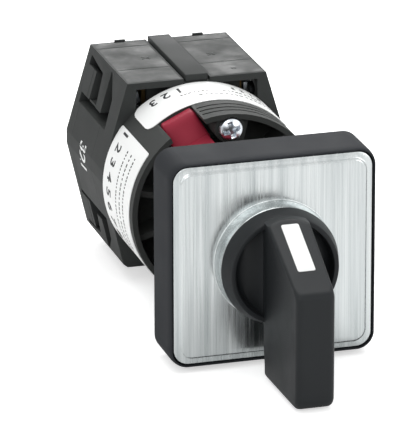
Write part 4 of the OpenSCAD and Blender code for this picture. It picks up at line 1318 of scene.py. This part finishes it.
@dataclass
class ContactBlock:
    """The two cells, the end cover, the strip and the terminals."""

    top: float = 22.3
    cell_front: float = 44.3
    split: float = 54.0
    cover: float = 70.5
    back: float = 74.9
    seam: float = 0.15
    strip_w: float = 5.1
    strip_rise: float = 0.8
    pad_xs: Pair = (3.5, 15.2)
    pad_crown: float = 0.16
    # Each mark's place in X and Y, and its size
    marks: tuple[Triple, ...] = ((-6.9, 60.9, 2.4), (7.7, 59.7, 2.4), (9.5, 48.4, 1.4))
    boss_r: float = 3.25
    boss_front: float = 65.8
    boss_places: tuple[Pair, ...] = ((17.4, 15.5), (17.7, -14.25))
    clamp_x: float = 13.4
    clamp_zs: Pair = (16.2, -14.3)

    def build(self) -> None:
        """Builds and settles the block's pieces."""
        for node, kind in (("front_cell", CELL_PLASTIC), ("rear_cell", CELL_PLASTIC),
                           ("end_cover", COVER_PLASTIC)):
            soften(node, node + "_moulding", kind, Slot.HOUSING, 0.25, 2, 30)
        settle(self.strip(), Slot.HOUSING, "top_strip")
        settle(self.pads(), Slot.HOUSING)
        settle(self.bosses(), Slot.HOUSING)
        rear = ScrewHead(2.6, 1.7, 1.25, 5.7, Recess.SLOT, dome=0.25, recess_depth=0.7, turn=35)
        front = ScrewHead(2.1, 1.5, 1.25, 5.7, Recess.SLOT, dome=0.2, recess_depth=0.6, turn=20)
        for cell, screw, y in (("rear", rear, 63.0), ("front", front, 51.1)):
            form = Form()
            for side, z in product((-1, 1), self.clamp_zs):
                form.grid(screw.along_x((side * self.clamp_x, y, z)))
            settle(form.build(cell + "_clamp_screws", TERMINAL_STEEL, sharp=30), Slot.TERMINAL,
                   cell + "_terminal_screws")

    def strip(self) -> Object:
        """The strip along the block's top, a long bar with rounded edges.

        Returns:
            The piece.
        """
        half = self.strip_w / 2
        bar = rounded_box((-half, self.cell_front + 0.3, self.top - 0.8),
                          (half, self.back, self.top + self.strip_rise), 0.25)
        return Form().loft(bar).build("top_strip_bar", CELL_PLASTIC)

    def pads(self) -> Object:
        """Thin crowned skins on the block's top, one a side on each cell and on the cover.

        A pad's height is its crown times one less the square of the share across, times one less
        the square of the share along, over a small step at its edge.

        Returns:
            The piece.
        """
        form = Form()
        for ys, side in product(((self.cell_front + 0.5, self.split - self.seam),
                                 (self.split + self.seam, self.cover - self.seam),
                                 (self.cover + self.seam, self.back - 0.6)), (-1, 1)):
            form.loft(self._pad(side, ys))
        for (x, y, size), lean in product(self.marks, (40, -50)):
            form.loft(self._stroke((x, y), lean, size), tag=1)
        return form.build("top_pads", TOP_PLASTIC, NECK_PLASTIC, sharp=30)

    def _pad(self, side: int, ys: Pair) -> np.ndarray:
        """Sections of one pad, from its front edge to its back edge.

        Args:
            side: 1 for the right side, -1 for the left.
            ys: Its front and back edge.

        Returns:
            Sections of shape (n, points, 3) for a loft.
        """
        edge, step, depth = 0.02, 0.05, 0.05
        along = np.concatenate([[-1, -0.985], np.linspace(-0.95, 0.95, 15), [0.985, 1]])
        u, v = np.meshgrid(np.linspace(-1, 1, 17), along)
        crown = step + self.pad_crown * (1 - u ** 2) * (1 - v ** 2)
        inside = (np.abs(u) < 1) & (np.abs(v) < 1)
        x, y = (sum(ends) / 2 + (ends[1] - ends[0]) / 2 * share
                for ends, share in ((self.pad_xs, u), (ys, v)))
        face, under = (xyz(side * x, y, self.top + height)
                       for height in (np.where(inside, crown, edge), -depth))
        return np.concatenate([face, under[:, ::-1]], axis=1)

    def _stroke(self, at: Pair, lean: float, length: float) -> np.ndarray:
        """A short moulded stroke of a cross on a pad.

        Args:
            at: Its middle in X and Y.
            lean: Its angle in degrees about the vertical.
            length: Its length.

        Returns:
            Sections of shape (n, points, 3) for a loft.
        """
        bar = rounded_box((-length / 2, -0.2, self.top), (length / 2, 0.2, self.top + 0.235), 0.05)
        x, y, z = np.moveaxis(bar, -1, 0)
        x, y = rotated(x, y, math.radians(lean))
        return xyz(at[0] + x, at[1] + y, z)

    def bosses(self) -> Object:
        """The cover's round bosses that end in the side windows.

        Each is a short cylinder along the axis with a rounded front, cut off flush with the
        block's side, whose distance from the axis follows its height.

        Returns:
            The piece.
        """
        r, front, back, set_in = self.boss_r, self.boss_front, self.cover, 0.05
        form = Form()
        profile = [(0, front), (r - 0.35, front), (r - 0.1, front + 0.1), (r, front + 0.35),
                   (r, back), (0, back)]
        for side, (x, z) in product((-1, 1), self.boss_places):
            points = turned(profile, 72) + np.array([x, 0, z])
            wall = np.interp(points[..., 2], *SIDE_WALL)
            points[..., 0] = side * np.minimum(points[..., 0], wall - set_in)
            form.grid(points)
        return form.build("cover_bosses", COVER_PLASTIC, sharp=30)


@dataclass
class Print:
    """Generic printing: plain figures and ruled marks on the labels, and figures on the block."""

    radius: float = 21.45
    ink_t: float = 0.02
    # Text, height of a digit, angle of the middle and y
    label_texts: tuple[tuple[str, float, float, float], ...] = (
        ("1 2 3", 2.9, 112.0, 41.2), ("1 2 3 4 5 6 7 8", 3.1, 176.0, 39.6),
        ("0  1  2  3", 1.5, 62.0, 40.8))
    # First and last angle, y and pitch in degrees
    ruled_rows: tuple[tuple[float, float, float, float], ...] = (
        (44.0, 104.0, 37.6, 2.6), (44.0, 96.0, 35.2, 3.1), (150.0, 222.0, 33.4, 2.2),
        (150.0, 214.0, 30.6, 2.9), (150.0, 206.0, 27.9, 2.2))
    mark_l: float = 0.55
    # Text, y and z
    block_texts: tuple[tuple[str, float, float], ...] = (
        ("3", 61.3, 3.1), ("2", 61.5, 0.7), ("1", 61.7, -1.6))
    block_digit: float = 4.6
    block_narrowing: float = 0.75

    def build(self) -> None:
        """Builds and settles the printed marks."""
        settle(self.label_ink(), Slot.LABEL)
        settle(self.block_figures(), Slot.WHITE)

    def figures(self, text: str, height: float) -> tuple[np.ndarray, np.ndarray, np.ndarray]:
        """Plain figures as a flat solid, about their own middle.

        Args:
            text: Digits and spaces.
            height: Height of a digit.

        Returns:
            Points in millimetres, the faces' point numbers, and how many each face has.
        """
        curve = bpy.data.curves.new("figures", "FONT")
        curve.body, curve.size, curve.extrude = text, height * 1.4, self.ink_t
        curve.align_x, curve.align_y, curve.offset = "CENTER", "CENTER", 0.02 * height
        curve.resolution_u = 4
        holder = put("figures", curve)
        graph = bpy.context.evaluated_depsgraph_get()
        mesh = bpy.data.meshes.new_from_object(holder.evaluated_get(graph))
        points = np.empty(3 * len(mesh.vertices), np.float32)
        mesh.vertices.foreach_get("co", points)
        corners = np.empty(len(mesh.loops), np.int32)
        mesh.loops.foreach_get("vertex_index", corners)
        sizes = np.empty(len(mesh.polygons), np.int32)
        mesh.polygons.foreach_get("loop_total", sizes)
        bpy.data.objects.remove(holder)
        bpy.data.curves.remove(curve)
        bpy.data.meshes.remove(mesh)
        return points.reshape(-1, 3).astype(float), corners, sizes

    def label_ink(self) -> Object:
        """Figures and rows of short ruled marks, wrapped on the labels.

        A figure's width runs round the axis, as an angle of width over radius, and its height
        along the axis. The marks' widths go through four steps in a fixed order.

        Returns:
            The piece.
        """
        form = Form()
        for text, height, angle, y in self.label_texts:
            points, corners, sizes = self.figures(text, height)
            turn = math.radians(angle) + points[:, 0] / self.radius
            r = self.radius + self.ink_t + points[:, 2]
            form.solid(polar(r, turn, y - points[:, 1]), corners, sizes)
        for row, (start, end, y, pitch) in enumerate(self.ruled_rows):
            for i, angle in enumerate(np.arange(start, end, pitch)):
                width = pitch * (0.45 + 0.3 * ((i * 7 + row * 3) % 4) / 3)
                form.loft(curved_patch(self.radius, self.ink_t, (angle, angle + width),
                                       (y, y + self.mark_l), 4))
        return form.build("label_printing", INK)

    def block_figures(self) -> Object:
        """Three white figures on the block's left side, read from above downwards.

        A figure's height runs along the axis with its top to the front, and each of its points
        lies on the side wall, whose distance from the axis follows its height.

        Returns:
            The piece.
        """
        form = Form()
        for text, y, z in self.block_texts:
            points, corners, sizes = self.figures(text, self.block_digit)
            height = z - points[:, 0] * self.block_narrowing
            wall = np.interp(height, *SIDE_WALL)
            form.solid(xyz(-wall - self.ink_t - points[:, 2], y - points[:, 1], height), corners,
                       sizes)
        return form.build("block_figures", WHITE_INK)


@dataclass(frozen=True)
class Mechanism:
    """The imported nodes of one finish, inside and behind, that keep their shape."""

    kind: Finish
    nodes: tuple[str, ...]

    def build(self) -> None:
        """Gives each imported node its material, without touching its mesh."""
        for node in self.nodes:
            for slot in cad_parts[node].material_slots:
                slot.link = "OBJECT"
                slot.material = finish_of(self.kind)
            LOG.info("%s keeps its packed shape and takes %s", node, self.kind.name)


MECHANISM = (
    Mechanism(SPRING_STEEL, ("grip_clip", "shaft_circlip", "detent_spring_left",
                             "detent_spring_right", "front_contact_springs",
                             "rear_contact_springs")),
    Mechanism(SHAFT_STEEL, ("front_shaft", "cam_shaft")),
    Mechanism(ZINC_STEEL, ("flange_screws", "terminal_clamps", "tie_nuts")),
    Mechanism(SEAL_RUBBER, ("shaft_seal",)),
    Mechanism(NATURAL_PLASTIC, ("detent_wheel", "detent_follower_left", "detent_follower_right",
                                "front_cam", "rear_cam", "front_plunger_left",
                                "front_plunger_right", "rear_plunger_left",
                                "rear_plunger_right")),
    Mechanism(CONTACT_BRASS, ("front_bridge_left", "front_bridge_right", "rear_bridge_left",
                              "rear_bridge_right", "front_fixed_contacts",
                              "rear_fixed_contacts")))


def aim(name: str, data: bpy.types.ID, axes: Sequence[np.ndarray],
        at: Sequence[float]) -> Object:
    """Puts a lamp or a camera into the scene.

    Args:
        name: Its name.
        data: The lamp or the camera.
        axes: Unit vectors along its own X, Y and Z.
        at: Its place in metres.

    Returns:
        The object.
    """
    holder = put(name, data)
    rows = [[axis[i] for axis in axes] + [at[i]] for i in range(3)]
    holder.matrix_world = Matrix(rows + [[0, 0, 0, 1]])
    return holder


@dataclass(frozen=True)
class Lamp:
    """A square soft lamp, at a place and facing a point in metres, with its width and watts."""

    name: str
    at: Triple
    to: Triple
    size: float
    power: float

    def build(self) -> None:
        """Puts the lamp up."""
        light = bpy.data.lights.new(self.name, "AREA")
        light.size, light.energy = self.size, self.power
        away = np.array(self.at) - np.array(self.to)
        away /= np.linalg.norm(away)
        side = np.cross([0, 0, 1], away)
        side /= np.linalg.norm(side)
        aim(self.name, light, (side, np.cross(away, side), away), self.at)


LAMPS = (Lamp("overhead_softbox", (-0.1, 0.1, 0.95), (0, 0.03, 0), 0.8, 3.8),
         Lamp("upper_back_softbox", (0.3, 0.62, 0.75), (0, 0.03, 0), 0.4, 4.0),
         Lamp("left_softbox", (-0.9, -0.5, 0.5), (0, 0.02, 0), 0.6, 1.6),
         Lamp("right_softbox", (0.8, -0.9, 0.35), (0, 0, 0), 0.7, 3.0),
         Lamp("back_softbox", (0.3, 1.1, 0.5), (0, 0.05, 0), 0.5, 4.0),
         Lamp("front_softbox", (-0.35, -1.3, 0.8), (0, 0, 0), 0.8, 3.5))


@dataclass
class Studio:
    """A plain white sweep, soft lamps and the photograph's camera."""

    floor_z: float = -23.4
    floor_half: float = 3000.0
    floor_glow: float = 0.55
    focal_px: float = 4855.2
    image_long_px: float = 444.0
    azimuth: float = 16.416
    elevation: float = 19.354
    roll: float = -0.127
    eye: Triple = (-282.53, -919.78, 342.03)

    def build(self) -> None:
        """Sets up the floor, the world, the lamps, the camera and the view."""
        self.floor()
        self.world()
        for lamp in LAMPS:
            lamp.build()
        self.camera()
        bpy.context.scene.view_settings.view_transform = "Standard"

    def floor(self) -> None:
        """The floor, which looks white to the camera and still takes the object's shadow."""
        half = self.floor_half
        corners = np.array([(x, y, self.floor_z) for x, y in (
            (-half, -half), (half, -half), (half, half), (-half, half))])
        mesh = bpy.data.meshes.new("floor")
        mesh.from_pydata((corners * MM).tolist(), [], [[0, 1, 2, 3]])
        material, tree = new_material("pale_seamless_paper")
        seen = self._seen(tree, 0.35)
        place = add_node(tree, "ShaderNodeTexCoord").outputs["Object"]
        fibre = add_node(tree, "ShaderNodeTexNoise", {"Scale": scale_of(3.0)}, {"Vector": place})
        tone = add_node(tree, "ShaderNodeMix", {
            "data_type": "RGBA", 6: linear("#f4f4f4"), 7: linear("#efefef")},
            {0: fibre.outputs["Fac"]})
        paper = add_node(tree, "ShaderNodeBsdfDiffuse", links={"Color": tone.outputs[2]})
        glow = add_node(tree, "ShaderNodeEmission", {
            "Color": linear("#ffffff"), "Strength": self.floor_glow})
        lit = add_node(tree, "ShaderNodeAddShader", links={0: paper.outputs[0], 1: glow.outputs[0]})
        mixed = add_node(tree, "ShaderNodeMixShader", links={
            0: seen, 1: paper.outputs[0], 2: lit.outputs[0]})
        add_node(tree, "ShaderNodeOutputMaterial", links={"Surface": mixed.outputs[0]})
        mesh.materials.append(material)
        put("floor", mesh)

    def _seen(self, tree: NodeTree, share: float) -> NodeSocket:
        """How far a ray sees the white background.

        Args:
            tree: The material's or the world's tree.
            share: What it is for a ray off a gloss or through a clear surface.

        Returns:
            One for a ray from the camera, the share for those, and otherwise zero.
        """
        path = add_node(tree, "ShaderNodeLightPath")
        other = add_node(tree, "ShaderNodeMath", {"operation": "MAXIMUM"}, {
            0: path.outputs["Is Glossy Ray"], 1: path.outputs["Is Transmission Ray"]})
        part = add_node(tree, "ShaderNodeMath", {"operation": "MULTIPLY", 1: share},
                        {0: other.outputs[0]})
        return add_node(tree, "ShaderNodeMath", {"operation": "MAXIMUM"},
                        {0: path.outputs["Is Camera Ray"], 1: part.outputs[0]}).outputs[0]

    def world(self) -> None:
        """White behind the object, and a plain grey glow for everything it lights."""
        world = bpy.data.worlds.new("studio")
        bpy.context.scene.world = world
        world.use_nodes = True
        tree = world.node_tree
        tree.nodes.clear()
        dim, white = (add_node(tree, "ShaderNodeBackground", {
            "Color": linear("#ffffff"), "Strength": glow}).outputs[0] for glow in (0.5, 1.0))
        mixed = add_node(tree, "ShaderNodeMixShader", links={
            0: self._seen(tree, 1.0), 1: dim, 2: white})
        add_node(tree, "ShaderNodeOutputWorld", links={"Surface": mixed.outputs[0]})

    def camera(self) -> None:
        """The camera, which looks along the direction of its azimuth and elevation."""
        a, e, r = (math.radians(v) for v in (self.azimuth, self.elevation, self.roll))
        ahead = np.array([math.sin(a) * math.cos(e), math.cos(a) * math.cos(e), -math.sin(e)])
        level = np.array([math.cos(a), -math.sin(a), 0.0])
        rise = np.cross(level, ahead)
        data = bpy.data.cameras.new("camera")
        data.sensor_width = 36.0
        data.lens = self.focal_px / self.image_long_px * data.sensor_width
        data.clip_start, data.clip_end = 0.05, 20.0
        axes = (math.cos(r) * level + math.sin(r) * rise, math.cos(r) * rise - math.sin(r) * level,
                -ahead)
        bpy.context.scene.camera = aim("camera", data, axes, np.array(self.eye) * MM)


def main() -> None:
    """Builds the studio and every sub-assembly, front to back."""
    logging.basicConfig(level=logging.INFO, format="%(name)s: %(message)s")
    Studio().build()
    for part in (FrontFrame(), Grip(), Neck(), Collar(), ContactBlock(), Print(), *MECHANISM):
        LOG.info("building %s", type(part).__name__)
        part.build()
    bpy.context.view_layer.update()


if __name__ == "__main__":
    main()
